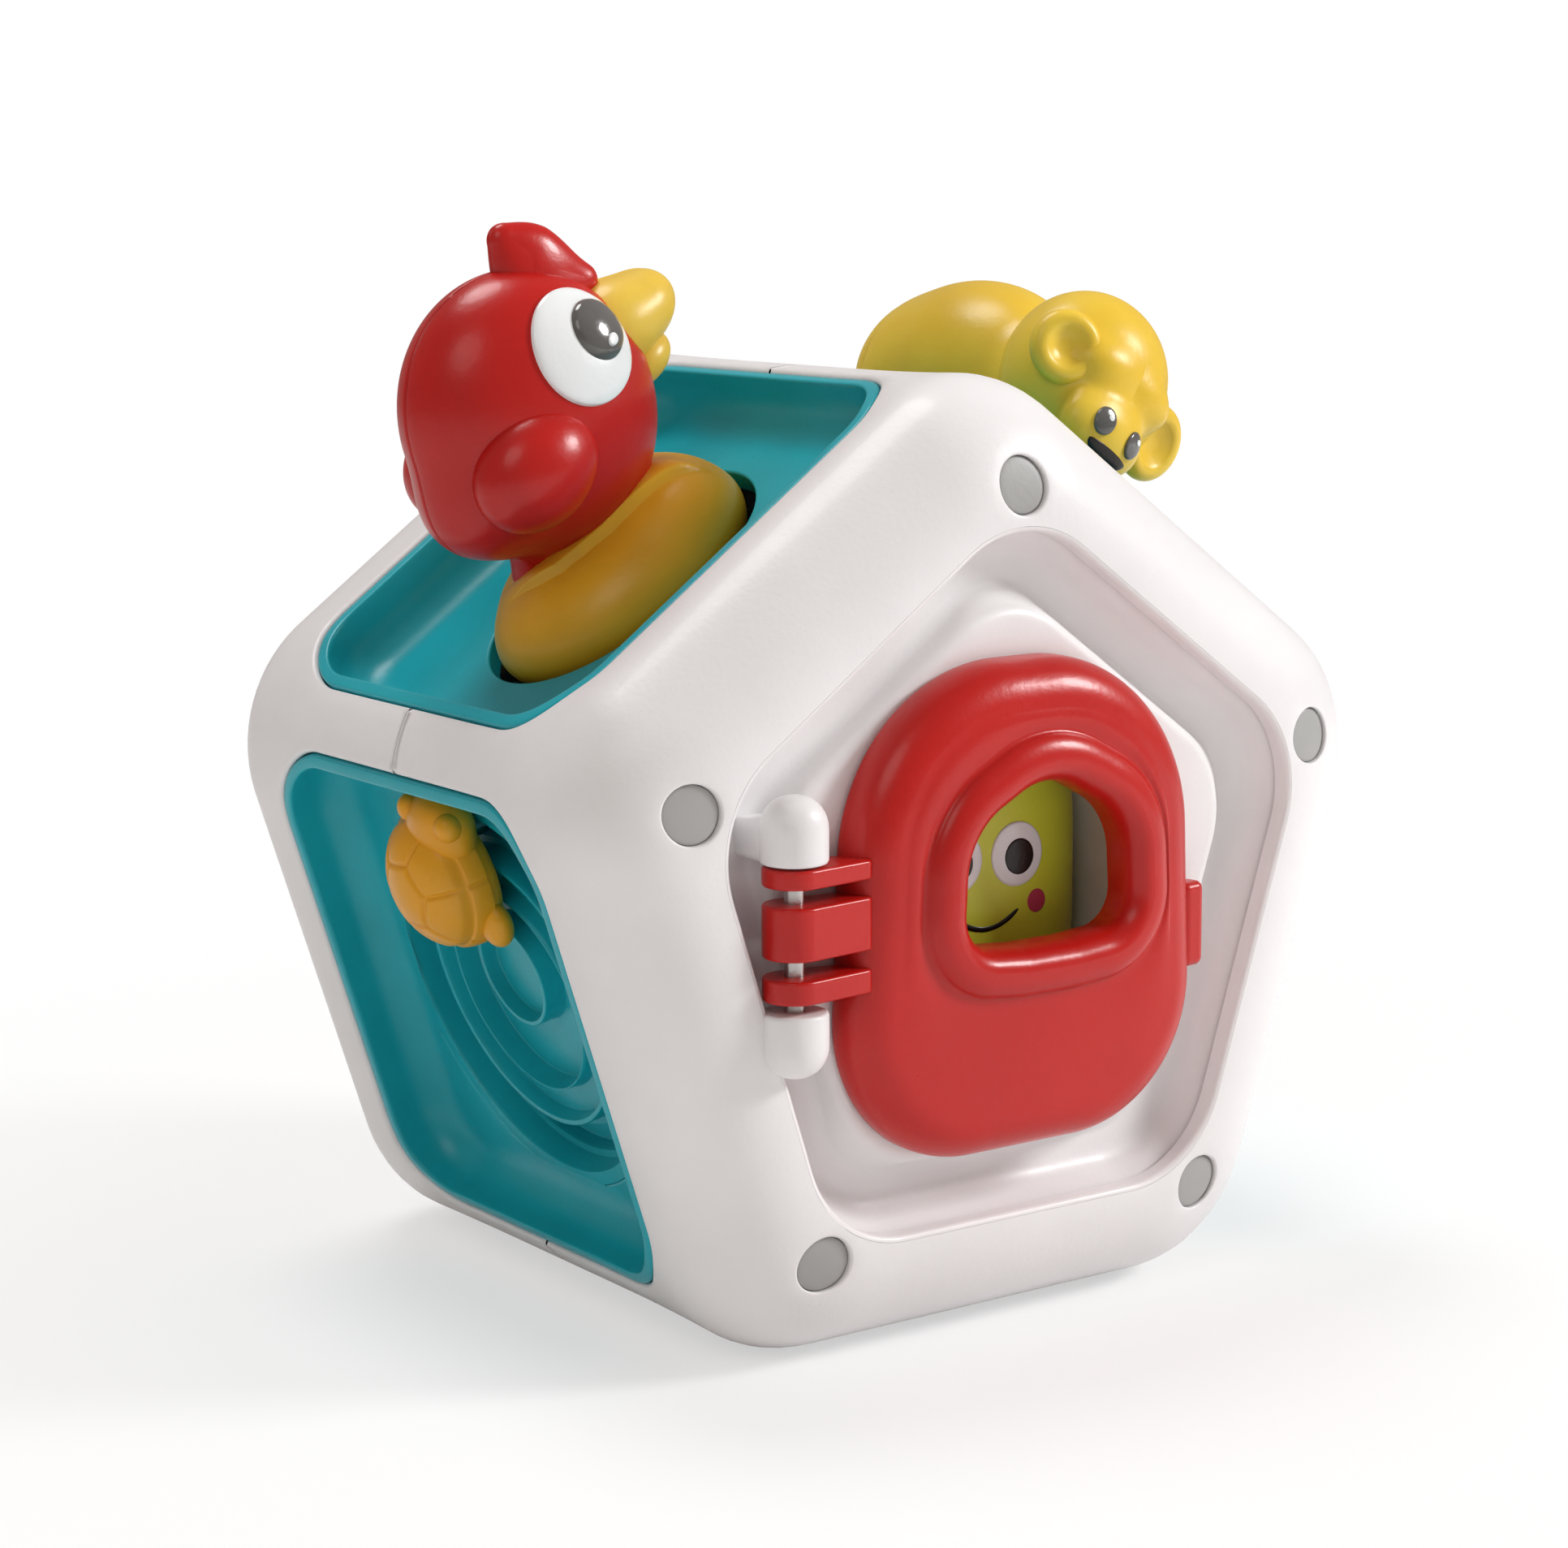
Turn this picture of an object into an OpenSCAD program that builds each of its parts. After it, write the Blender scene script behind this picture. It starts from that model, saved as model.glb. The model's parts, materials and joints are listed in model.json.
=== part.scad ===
// Activity toy for a small child: a pentagonal prism with a play feature on each side.
// The prism lies along Y. The door side faces -Y and the toy stands on its bottom side at z = 0.
// A side is named by the angle of its outward direction about Y, from +X towards +Z.

/* [Body] */
// Distance from the prism's axis to each side
body_apothem = 70.6; // [69:0.2:73]
// Depth of the prism from front to back
body_depth = 122.4; // [120:0.4:134]
// Radius of the five long edges
corner_r = 27; // [25:0.5:29]
// Rounding of the front edge, also the corner radius of the front
front_round = 19.4; // [18.6:0.2:20]
// Rounding of the back edge
back_round = 15; // [13:0.5:16]
// Corner radius of the back
back_corner_r = 24.6; // [23:0.2:26]
// Thickness of the side walls
wall = 2.6; // [2:0.1:3]
// Thickness of the front and back walls
end_wall = 3; // [2.6:0.1:3.4]

/* [Side openings] */
// Width of each side opening along the side
opening_w = 84.8; // [82:0.4:86]
// Length of each side opening along the prism
opening_d = 82.2; // [80:0.2:84]
// Corner radius of each side opening
opening_r = 15; // [13:1:17]
// Depth of the tray floors below the side
tray_depth = 11; // [10:0.5:12]
// Thickness of the tray floors
tray_floor = 2; // [1.6:0.1:2.4]
// Width of the rim that shows round each tray
tray_lip = 2; // [1.6:0.1:2.4]
// Radius of the hollow curve between tray wall and tray floor
tray_cove = 6.5; // [5:0.5:7]
// Gap between a tray and its opening
tray_gap = 0.2; // [0.15:0.05:0.3]

/* [Front recess] */
// Distance from the axis to each edge of the front recess
recess_apothem = 51.4; // [50.4:0.2:51.6]
// Corner radius of the front recess
recess_r = 20; // [18:0.5:22]
// Depth of the channel that runs round the front recess
channel_depth = 8.5; // [7:0.5:10]
// Distance from the axis to each edge of the raised middle
boss_apothem = 39.5; // [38:0.5:41]
// Corner radius of the raised middle
boss_r = 17; // [14:1:20]
// Depth of the raised middle below the front
boss_depth = 3.8; // [3:0.2:5]
// Depth of the pocket behind the door, below the front
pocket_depth = 24; // [20:1:28]
// Thickness of the inset panels
panel_t = 2; // [1.6:0.1:2.4]

/* [Fasteners] */
// Distance from the axis to the five body screws
screw_circle_r = 65; // [64.6:0.1:65.4]
// Radius of the screw wells in the front
screw_well_r = 4.6; // [4:0.1:4.8]
// Depth of the screw wells
screw_well_depth = 13; // [12:0.5:14]
// Depth of the plugs below the front
plug_sink = 4; // [3.4:0.2:4.6]
// Radius of the long screw posts
post_r = 3.2; // [2.8:0.1:3.4]
// Radius of a screw's shank
shank_r = 1.25; // [1.1:0.05:1.4]
// Radius of a screw's head
head_r = 2.8; // [2.4:0.1:2.9]
// Height of a screw's head
head_h = 1.8; // [1.5:0.1:2]

/* [Door] */
// Radius of the door's lower corners
door_low_r = 20; // [18:0.5:22]
// Radius of the door's upper corners
door_high_r = 30; // [28:0.5:31]
// Half width of the door
door_half_w = 34.5; // [33.5:0.5:35]
// Height of the door
door_h = 78; // [76:0.5:80]
// Thickness of the door
door_t = 8.6; // [8:0.2:9.4]
// Gap behind the door
door_gap = 0.4; // [0.3:0.05:0.6]
// Rounding of the door's front edge
door_round = 6.5; // [5.5:0.5:7]
// Wall of the door's shell
door_wall = 2; // [1.6:0.1:2.4]
// Radius of the window's round top
window_r = 15.5; // [14.5:0.5:16]
// Corner radius at the window's foot
window_low_r = 7; // [6:0.5:8]
// Width of the raised rim round the window
rim_w = 8.4; // [7.4:0.2:9]
// Height of the rim above the door's face
rim_h = 2.6; // [1.8:0.2:3.2]

/* [Hinge] */
// Sideways distance of the hinge pin from the axis
hinge_x = 44.8; // [44.4:0.2:45.4]
// Radius of the hinge posts
hinge_post_r = 5.8; // [5.4:0.1:6]
// Radius of the door's knuckles
knuckle_r = 4.9; // [4.6:0.1:5]
// Radius of the hinge pin
hinge_pin_r = 1.6; // [1.4:0.1:1.8]
// Running gap round the pins
run_gap = 0.06; // [0.04:0.01:0.09]
// Half length of the space between the hinge posts
hinge_half_gap = 11.3; // [11.2:0.1:11.8]
// Height of each hinge post
hinge_post_h = 12.5; // [11.5:0.5:13.5]

/* [Bird] */
// Half length of the bird's body
bird_len = 22; // [21:0.5:23]
// Half height of the bird's body
bird_high = 23.3; // [22.3:0.5:24.3]
// Half width of the bird's body
bird_wide = 14.5; // [13.5:0.5:15.5]
// Height of the middle of the bird above the side
bird_rise = 20.8; // [20.3:0.1:21.8]
// Wall of the moulded figures
figure_wall = 2; // [1.6:0.1:2.4]
// Half length of the perch at the tray floor
perch_len = 25; // [24:0.5:26]
// Half width of the perch at the tray floor
perch_wide = 19; // [18:0.5:19.5]
// Height of the perch above the tray floor
perch_high = 12.5; // [12:0.5:14]
// Gap between perch and tray at the ends
perch_end_gap = 1.9; // [1.7:0.1:2.4]
// Gap between perch and tray at the sides
perch_side_gap = 0.5; // [0.4:0.1:0.8]
// Depth of the bird's pivot below the tray floor
pivot_drop = 7; // [6.6:0.2:8]
// Radius of the bird's pivot pin
pivot_pin_r = 2; // [1.8:0.1:2.2]

/* [Turtle and track] */
// Radius of the middle of the track
track_r = 28.5; // [28:0.1:29]
// Width of the track
track_w = 8; // [7.6:0.1:8.2]
// Depth of the track below the tray floor
track_depth = 4.4; // [4:0.2:5]
// Half angle of the part of the track that is left solid
track_bridge = 40; // [36:1:44]
// Width of the slot in the track
slot_w = 4.4; // [4.2:0.1:4.8]
// Radius of the turtle's stem
stem_r = 1.9; // [1.7:0.05:2]
// Half length of the turtle's shell
turtle_len = 12.5; // [11.5:0.5:13]
// Half width of the turtle's shell
turtle_wide = 11.5; // [10.5:0.5:12]

/* [Monkey] */
// Height of the middle of the monkey's head above the side
monkey_rise = 21.4; // [20.8:0.2:23]
// Half width of the monkey's head
head_wide = 15; // [14:0.5:16]
// Half length of the monkey's body
torso_len = 23.5; // [22:0.5:24]
// Half width of the monkey's body
torso_wide = 15; // [14:0.5:16]
// Radius of the monkey's spindle
spindle_r = 5; // [4.5:0.1:5.5]

/* [Hidden] */

// Sides and long edges, by their angle about Y
BASE = -90;
half_turn = 36;
RIGHT = BASE + 2 * half_turn;
MONKEY = RIGHT + 2 * half_turn;
BIRD = MONKEY + 2 * half_turn;
MAZE = BIRD + 2 * half_turn;
SIDES = [BIRD, MONKEY, MAZE, RIGHT, BASE];
EDGES = [90, 162, -126, -54, 18];

half_d = body_depth / 2;
floor_h = body_apothem - tray_depth;
floor_under_h = floor_h - tray_floor;
clear = 0.3;
cut = 1;
big = 120;

// Depth over which the long edges change from their middle radius to their end radius
edge_blend = 45;

// Front recess, measured along Y
panel_front = -half_d + end_wall + 0.5;
channel_y = -half_d + channel_depth;
panel_back = channel_y + panel_t;
boss_y = -half_d + boss_depth;
pocket_y = -half_d + pocket_depth;
pocket_half_w = 25;
pocket_half_h = 30;
flange_over = 1.6;
flange_apothem = recess_apothem + flange_over;

// Screws that hold the inset panels, one in the middle of each edge
front_tab_apothem = body_apothem - 8.7;
front_tab_screw = body_apothem - 11;
rear_tab_apothem = 58.2;
rear_tab_screw = 55;
tab_w = 12;

// Tabs along the trays' ends, and the shelves in the shells that hold them
tray_tab_w = 36;
tray_tab_out = 4;
tray_tab_h = body_apothem - wall - 0.6;
tray_tab_t = 1.4;
shelf_t = 2;

// Screw wells
well_floor_t = 3;
well_wall = 1;
well_y = -half_d + screw_well_depth;
post_end_y = well_y + well_floor_t + 0.1;

// Door
door_back_y = boss_y - door_gap;
door_face_y = door_back_y - door_t;
door_top = door_h / 2 - 0.5;
door_bottom = -door_h / 2 - 0.5;
door_cx = -1;
window_z = 3.5;
window_foot_z = window_z - window_r + window_low_r + 2.5;
tunnel_wall = 1.8;
hinge_y = -half_d - 0.5;
knuckles = [[7.9, 10.9], [-3, 5.2], [-9.6, -5.9]];
latch_z = [-15, -1];
figure_y = pocket_y - 0.1;
figure_up = 1.5;

// Bird: its middle along the side, and its pivot
bird_x = 2;
bird_h = body_apothem + bird_rise;
pivot_h = floor_h - pivot_drop;
ear_y = perch_wide + perch_side_gap + 1.2;
ear_t = 3.5;
ear_r = 5;
slot_half_len = perch_len + perch_end_gap;
slot_half_wide = perch_wide + perch_side_gap;
hub_y = 11;
hub_r = 4.6;
perch_skirt = 5;
bracket_foot_h = floor_under_h - 4.1;
bracket_screw_x = 17;
bracket_screw_y = ear_y + ear_t + 5.5;

// Turtle: how far its middle lies inside the track's middle line
turtle_in = 5.5;
turtle_angle = 3.5;
track_floor_h = floor_h - track_depth;
track_under_h = track_floor_h - tray_floor;
turtle_h = floor_h + 3.2;
turtle_high = 10.2;
track_a0 = -90 + track_bridge;
track_a1 = 270 - track_bridge;

// Monkey: places along the prism and heights above the axis
monkey_head_y = -13;
monkey_head_h = body_apothem + monkey_rise;
head_deep = 12.5;
head_high = 15.5;
torso_y = 20;
torso_h = monkey_head_h + 2.5;
torso_high = 16.5;
torso_seam_y = 35.5;
pedestal_r = 13;
monkey_screw_y = 9;

white = "whitesmoke";
teal = "darkcyan";
red = "firebrick";
steel = "silver";
amber = "goldenrod";
straw = "khaki";

// Puts children on a side: X along the side, Y along the prism, Z away from the axis
module on_side(a) translate([0, 0, body_apothem]) rotate([0, 90 - a, 0]) children();

// Puts children's XY plane on XZ, with their Z running back along +Y from the given y
module from_front(y = 0) translate([0, y, body_apothem]) rotate([90, 0, 0]) mirror([0, 0, 1]) children();

// Puts children at each long edge, at a distance from the axis
module at_edges(r) for (a = EDGES) translate([r * cos(a), 0, body_apothem + r * sin(a)]) children();

// Points of a regular pentagon with round corners, point up
function pentagon_points(apothem, r, steps) = let (c = (apothem - r) / cos(half_turn)) [
  for (a = EDGES, k = [0:steps]) let (q = a - half_turn + 2 * half_turn * k / steps)
    [c * cos(a) + r * cos(q), c * sin(a) + r * sin(q)]
];

module pentagon2d(apothem, r) polygon(pentagon_points(apothem, r, 9));

module pentagon(apothem, r, y0, y1) from_front(y0) linear_extrude(y1 - y0) pentagon2d(apothem, r);

// Depth lost to a rounding of radius r at distance d from its flat end
function rounding(r, d) = d >= r ? 0 : r * (1 - sqrt(1 - pow(1 - d / r, 2)));

// Corner radius of the body's cross-section at distances d0 from the front and d1 from the back
function edge_at(d0, d1) = corner_r
  + (front_round - corner_r) * pow(max(1 - d0 / edge_blend, 0), 2)
  + (back_corner_r - corner_r) * pow(max(1 - d1 / edge_blend, 0), 2);

// Places along Y of the body's cross-sections, close together where its ends are round
round_steps = 7;
section_places = concat(
  [for (k = [0:round_steps]) -half_d + front_round * (1 - cos(90 * k / round_steps))],
  [-half_d + 30, 0, half_d - 30],
  [for (k = [round_steps:-1:0]) half_d - back_round * (1 - cos(90 * k / round_steps))]
);
corner_steps = 7;

// The body's outer form, shrunk by a side inset and an end inset
module rounded_body(inset = 0, end_inset = 0) {
  n = len(EDGES) * (corner_steps + 1);
  squeeze = (half_d - end_inset) / half_d;
  rings = [for (y = section_places) let (d0 = y + half_d, d1 = half_d - y,
    a = body_apothem - rounding(front_round, d0) - rounding(back_round, d1) - inset,
    r = edge_at(d0, d1) - inset)
    [for (p = pentagon_points(a, r, corner_steps)) [p[0], y * squeeze, body_apothem + p[1]]]];
  last = len(rings) - 1;
  walls = [for (k = [0:last - 1], j = [0:n - 1]) let (a = k * n + j, b = k * n + (j + 1) % n)
    each [[a, b, b + n], [a, b + n, a + n]]];
  ends = [[for (j = [n - 1:-1:0]) j], [for (j = [0:n - 1]) last * n + j]];
  polyhedron(points = [for (ring = rings) each ring], faces = concat(walls, ends));
}

module rounded_rect(x, y, r) {
  square([2 * x, 2 * (y - r)], center = true);
  square([2 * (x - r), 2 * y], center = true);
  for (i = [-1, 1], j = [-1, 1]) translate([i * (x - r), j * (y - r)]) circle(r = r, $fn = 48);
}

// Upright prism of a side opening, in a side's own place
module opening(gap, h0, h1) translate([0, 0, h0]) linear_extrude(h1 - h0)
  rounded_rect(opening_w / 2 - gap, opening_d / 2 - gap, opening_r - gap);

// Part of the body's cross-section round one side, extruded along the prism
module side_form(inset, h0) intersection() {
  translate([0, half_d, 0]) rotate([90, 0, 0]) linear_extrude(body_depth)
    rotate(-half_turn) pentagon2d(body_apothem - inset, corner_r - inset);
  translate([-big, -big, h0]) cube([2 * big, 2 * big, big]);
}

module egg(x, y, z, fn = 28) scale([x, y, z]) sphere(r = 1, $fn = fn);

module ellipsoid(x, y, z, fn = 28) hull() egg(x, y, z, fn);

module screw(len) {
  cylinder(r = shank_r, h = len, $fn = 24);
  mirror([0, 0, 1]) cylinder(r = head_r, h = head_h, $fn = 32);
}

// Cylinder across the prism, between two places along Y
module along_y(r, y0, y1, fn = 32) translate([0, y0, 0]) rotate([-90, 0, 0]) cylinder(r = r, h = y1 - y0, $fn = fn);

// Room for the hinge posts, in the front shell and in the door panel
module hinge_notch(gap, y0, y1) translate([-hinge_x, 0, 0]) from_front(y0) linear_extrude(y1 - y0)
  rounded_rect(hinge_post_r + 2.6 - gap, hinge_half_gap + hinge_post_h + 1.6 - gap, 6 - gap);

// Shelves behind the shell's ends that the trays' tabs rest on
module tray_shelves(side) {
  y0 = side > 0 ? opening_d / 2 + 0.6 : -opening_d / 2 - 5.6;
  h = tray_tab_h - tray_tab_t - 0.15 - shelf_t;
  for (a = SIDES) on_side(a) {
    translate([-tray_tab_w / 2 - 2.5, y0, h]) cube([tray_tab_w + 5, 5, shelf_t]);
    for (i = [-1, 1]) translate([i * (tray_tab_w / 2 + 1.5) - 1, y0, h]) cube([2, 5, body_apothem - wall + 0.5 - h]);
  }
}

module shell_half(side) difference() {
  intersection() {
    rounded_body();
    translate([-big, side > 0 ? 0 : -big, -cut]) cube([2 * big, big, 2 * big]);
  }
  rounded_body(wall, end_wall);
  for (a = SIDES) on_side(a) opening(0, floor_h - 10, body_apothem + 10);
}

module front_shell() color(white) difference() {
  union() {
    difference() {
      shell_half(-1);
      pentagon(recess_apothem, recess_r, -half_d - cut, -half_d + end_wall + cut);
      hinge_notch(0, -half_d - cut, -half_d + end_wall + 4);
    }
    tray_shelves(-1);
    at_edges(screw_circle_r) along_y(screw_well_r + well_wall, -half_d + end_wall, well_y + well_floor_t, 48);
    for (a = SIDES) on_side(a) translate([0, 0, front_tab_screw]) along_y(3, -half_d + 4, channel_y - 0.1);
  }
  at_edges(screw_circle_r) {
    along_y(screw_well_r, -half_d - cut, well_y, 40);
    along_y(shank_r + 0.3, well_y - cut, well_y + well_floor_t + cut, 24);
  }
  for (a = SIDES) on_side(a) translate([0, 0, front_tab_screw]) along_y(shank_r + 0.05, channel_y - 3.6, channel_y + 2, 24);
}

module rear_shell() color(white) difference() {
  union() {
    shell_half(1);
    tray_shelves(1);
    at_edges(screw_circle_r) along_y(post_r, post_end_y, half_d - end_wall + 0.2);
    for (a = EDGES) translate([0, 0, body_apothem]) rotate([0, -a, 0])
      translate([screw_circle_r + post_r - 0.6, 2, -0.8]) cube([9, half_d - back_round - 2, 1.6]);
  }
  pentagon(recess_apothem, recess_r, half_d - end_wall - cut, half_d + cut);
  at_edges(screw_circle_r) along_y(shank_r + 0.05, post_end_y - cut, post_end_y + 16, 24);
  for (a = SIDES) on_side(a) translate([0, 0, rear_tab_screw])
    along_y(shank_r + 0.05, half_d - end_wall - cut, half_d - 0.6, 24);
}

module flange_cutouts(y0) at_edges(screw_circle_r)
  along_y(screw_well_r + well_wall + 0.4, y0 - cut, y0 + panel_t + cut, 40);

module pocket2d(grow) hull() {
  translate([door_cx, 6]) circle(r = pocket_half_w + grow, $fn = 64);
  for (i = [-1, 1]) translate([door_cx + i * (pocket_half_w - 14), -pocket_half_h + 14])
    circle(r = 14 + grow, $fn = 48);
}

module hinge_post(z) {
  post_top = hinge_half_gap + hinge_post_h;
  translate([-hinge_x, hinge_y, body_apothem]) mirror([0, 0, z < 0 ? 1 : 0]) {
    translate([0, 0, hinge_half_gap]) cylinder(r = hinge_post_r, h = hinge_post_h - 4, $fn = 48);
    translate([0, 0, post_top - 4]) cylinder(r1 = hinge_post_r, r2 = hinge_post_r - 3, h = 3.4, $fn = 48);
    translate([-4, 0, hinge_half_gap]) cube([8, panel_back - hinge_y, hinge_post_h - 4]);
  }
}

// Places of the peek figure's screws in the pocket floor
module at_figure_screws() for (z = [-19, 19]) translate([door_cx, 0, body_apothem + z]) children();

module door_panel() color(white) {
  difference() {
    union() {
      difference() {
        pentagon(flange_apothem, recess_r + flange_over, panel_front, panel_front + panel_t);
        flange_cutouts(panel_front);
      }
      pentagon(recess_apothem + 0.4, recess_r + 0.4, panel_front, panel_back);
      from_front(channel_y) linear_extrude(pocket_y + panel_t - channel_y) pocket2d(panel_t);
      hinge_notch(0.3, panel_front, panel_back);
      for (a = SIDES) on_side(a) translate([-tab_w / 2, channel_y, recess_apothem - 4])
        cube([tab_w, panel_t, front_tab_apothem - recess_apothem + 4]);
    }
    difference() {
      hull() {
        pentagon(recess_apothem + 0.2, recess_r, -half_d - cut, panel_front + 0.4);
        pentagon(recess_apothem - 4, recess_r - 3, -half_d, channel_y);
      }
      hull() {
        pentagon(boss_apothem - 0.6, boss_r, boss_y, channel_y + cut);
        pentagon(boss_apothem + 1.2, boss_r, boss_y + 2.5, channel_y + cut);
      }
    }
    hinge_notch(2, -half_d - cut, channel_y);
    from_front(-half_d) linear_extrude(pocket_depth) pocket2d(0);
    at_figure_screws() along_y(shank_r + 0.2, pocket_y - 2, pocket_y + 6, 24);
    for (a = SIDES) on_side(a) translate([0, 0, front_tab_screw]) along_y(shank_r + 0.2, channel_y - 1, panel_back + 1, 24);
  }
  difference() {
    for (z = [-1, 1]) hinge_post(z);
    translate([-hinge_x, hinge_y, body_apothem - 20.5]) cylinder(r = hinge_pin_r, h = 41, $fn = 32);
  }
}

module rear_panel() color(white) {
  y1 = half_d - end_wall - 0.1;
  difference() {
    union() {
      pentagon(flange_apothem, recess_r + flange_over, y1 - panel_t, y1);
      for (a = SIDES) on_side(a) translate([-tab_w / 2, y1 - panel_t, recess_apothem]) hull() {
        cube([tab_w, panel_t - 1, rear_tab_apothem - recess_apothem]);
        cube([tab_w, panel_t, rear_tab_screw - recess_apothem - 1.4]);
      }
      pentagon(recess_apothem - 0.3, recess_r - 0.3, y1 - 0.5, half_d - 1.2);
    }
    flange_cutouts(y1 - panel_t);
    pentagon(recess_apothem - 8, recess_r - 6, half_d - 2.2, half_d + cut);
    for (a = SIDES) on_side(a) translate([0, 0, rear_tab_screw]) along_y(shank_r + 0.2, y1 - panel_t - 1, y1 + 1, 24);
  }
}

module tray_tabs() for (j = [-1, 1])
  translate([-tray_tab_w / 2, j > 0 ? opening_d / 2 - 2 : -opening_d / 2 - tray_tab_out, tray_tab_h - tray_tab_t])
    cube([tray_tab_w, tray_tab_out + 2, tray_tab_t]);

// Plain tray: its rim follows the body's outer form, and its floor is flat
module tray_base() {
  x = opening_w / 2 - tray_gap - opening_r;
  y = opening_d / 2 - tray_gap - opening_r;
  foot_r = opening_r - tray_lip - tray_cove + 3.2;
  difference() {
    union() {
      intersection() {
        opening(tray_gap, floor_h + tray_cove - 3, body_apothem);
        side_form(clear, floor_h - 5);
      }
      hull() for (i = [-1, 1], j = [-1, 1]) {
        translate([i * x, j * y, floor_h + tray_cove - 3]) cylinder(r = opening_r - tray_gap, h = 0.5, $fn = 32);
        translate([i * x, j * y, floor_under_h]) cylinder(r = foot_r, h = 0.5, $fn = 32);
      }
      tray_tabs();
    }
    hull() for (i = [-1, 1], j = [-1, 1]) {
      translate([i * x, j * y, floor_h + tray_cove]) cylinder(r = opening_r - tray_lip, h = 20, $fn = 40);
      translate([i * x, j * y, floor_h + tray_cove]) rotate_extrude($fn = 40)
        translate([opening_r - tray_lip - tray_cove, 0]) circle(r = tray_cove, $fn = 24);
    }
  }
}

module long_hole(half_len, half_wide, h0, h1) hull() for (i = [-1, 1])
  translate([i * (half_len - half_wide), 0, h0]) cylinder(r = half_wide, h = h1 - h0, $fn = 64);

module at_bracket_screws() for (i = [-1, 1], j = [-1, 1])
  translate([i * bracket_screw_x, j * bracket_screw_y, 0]) children();

module bird_tray() color(teal) on_side(BIRD) difference() {
  union() {
    tray_base();
    at_bracket_screws() translate([0, 0, floor_under_h - 4]) cylinder(r = 3, h = 4.5, $fn = 32);
  }
  long_hole(slot_half_len, slot_half_wide, floor_h - 10, floor_h + 4);
  at_bracket_screws() translate([0, 0, floor_under_h - 5]) cylinder(r = shank_r + 0.05, h = 6, $fn = 24);
}

// Part of a ring from angle a0 to angle a1, with round ends
module arc_slot2d(r, w, a0, a1) {
  steps = 56;
  cap = 8;
  function way(k) = a0 + (a1 - a0) * k / steps;
  function end_cap(a, from, to) = [for (k = [1:cap - 1]) let (q = from + (to - from) * k / cap)
    [r * cos(a) + w / 2 * cos(q), r * sin(a) + w / 2 * sin(q)]];
  polygon(concat(
    [for (k = [0:steps]) (r + w / 2) * [cos(way(k)), sin(way(k))]],
    end_cap(a1, a1, a1 + 180),
    [for (k = [steps:-1:0]) (r - w / 2) * [cos(way(k)), sin(way(k))]],
    end_cap(a0, a0 + 180, a0 + 360)
  ));
}

// Two raised rings with sunken floors, inside the turtle's track
ring_out = track_r - track_w / 2;
ring_in = ring_out - 7;
island_x = 3;
island_r = 9.5;

module maze_tray() color(teal) on_side(MAZE) difference() {
  union() {
    tray_base();
    translate([0, 0, track_under_h]) cylinder(r = track_r + track_w / 2 + 1.5, h = floor_h - 0.5 - track_under_h, $fn = 96);
  }
  translate([0, 0, track_floor_h]) linear_extrude(track_depth + 2)
    arc_slot2d(track_r, track_w, track_a0, track_a1);
  translate([0, 0, track_under_h - cut]) linear_extrude(6) arc_slot2d(track_r, slot_w, track_a0, track_a1);
  translate([0, 0, floor_h - 0.6]) cylinder(r = ring_out + 0.4, h = 3, $fn = 96);
  difference() {
    translate([0, 0, floor_h - 3]) cylinder(r = ring_out - 1.2, h = 6, $fn = 96);
    translate([0, 0, floor_h - 4]) cylinder(r = ring_in, h = 8, $fn = 96);
  }
  difference() {
    translate([0, 0, track_floor_h + 0.4]) cylinder(r = ring_in, h = 8, $fn = 96);
    translate([island_x, 0, track_floor_h - 1]) cylinder(r = island_r, h = 10, $fn = 64);
  }
  translate([island_x, 0, floor_h - 3]) cylinder(r = island_r - 1.2, h = 6, $fn = 64);
}

module monkey_tray() color(teal) on_side(MONKEY) difference() {
  union() {
    tray_base();
    translate([0, 0, floor_h - 8]) cylinder(r = spindle_r + 2.5, h = 7, $fn = 48);
  }
  translate([0, 0, floor_h - 9]) cylinder(r = spindle_r + run_gap, h = 14, $fn = 64);
}

module right_tray() color(teal) on_side(RIGHT) tray_base();

// Flush cover of the side that the toy stands on
module base_panel() color(white) on_side(BASE) {
  intersection() {
    opening(tray_gap, body_apothem - 4.8, body_apothem + cut);
    side_form(0, body_apothem - 8);
  }
  tray_tabs();
}

module body_screws() color(steel) at_edges(screw_circle_r) translate([0, well_y - 0.05, 0])
  rotate([-90, 0, 0]) screw(18);

module screw_plugs() color("gainsboro") at_edges(screw_circle_r)
  along_y(screw_well_r - 0.05, -half_d + plug_sink, well_y - head_h - 0.5, 40);

module door_panel_screws() color(steel) for (a = SIDES) on_side(a)
  translate([0, panel_back + 0.05, front_tab_screw]) rotate([90, 0, 0]) screw(panel_t + 3.4);

module rear_panel_screws() color(steel) for (a = SIDES) on_side(a)
  translate([0, half_d - end_wall - 0.15 - panel_t, rear_tab_screw]) rotate([-90, 0, 0]) screw(panel_t + 2.2);

module peek_figure() color("yellowgreen") difference() {
  union() {
    intersection() {
      translate([door_cx, figure_y, body_apothem + figure_up]) ellipsoid(pocket_half_w - 2.8, 15.5, pocket_half_h - 4.4);
      translate([-60, figure_y - 20, 0]) cube([120, 20, 2 * body_apothem]);
    }
    intersection() {
      from_front(figure_y - 2) linear_extrude(2) pocket2d(-0.5);
      translate([-60, figure_y - 5, body_apothem - 27]) cube([120, 6, 54]);
    }
  }
  at_figure_screws() along_y(shank_r + 0.05, figure_y - 5, figure_y + 3, 24);
}

module peek_figure_screws() color(steel) at_figure_screws()
  translate([0, pocket_y + panel_t + 0.05, 0]) rotate([90, 0, 0]) screw(6.5);

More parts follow.
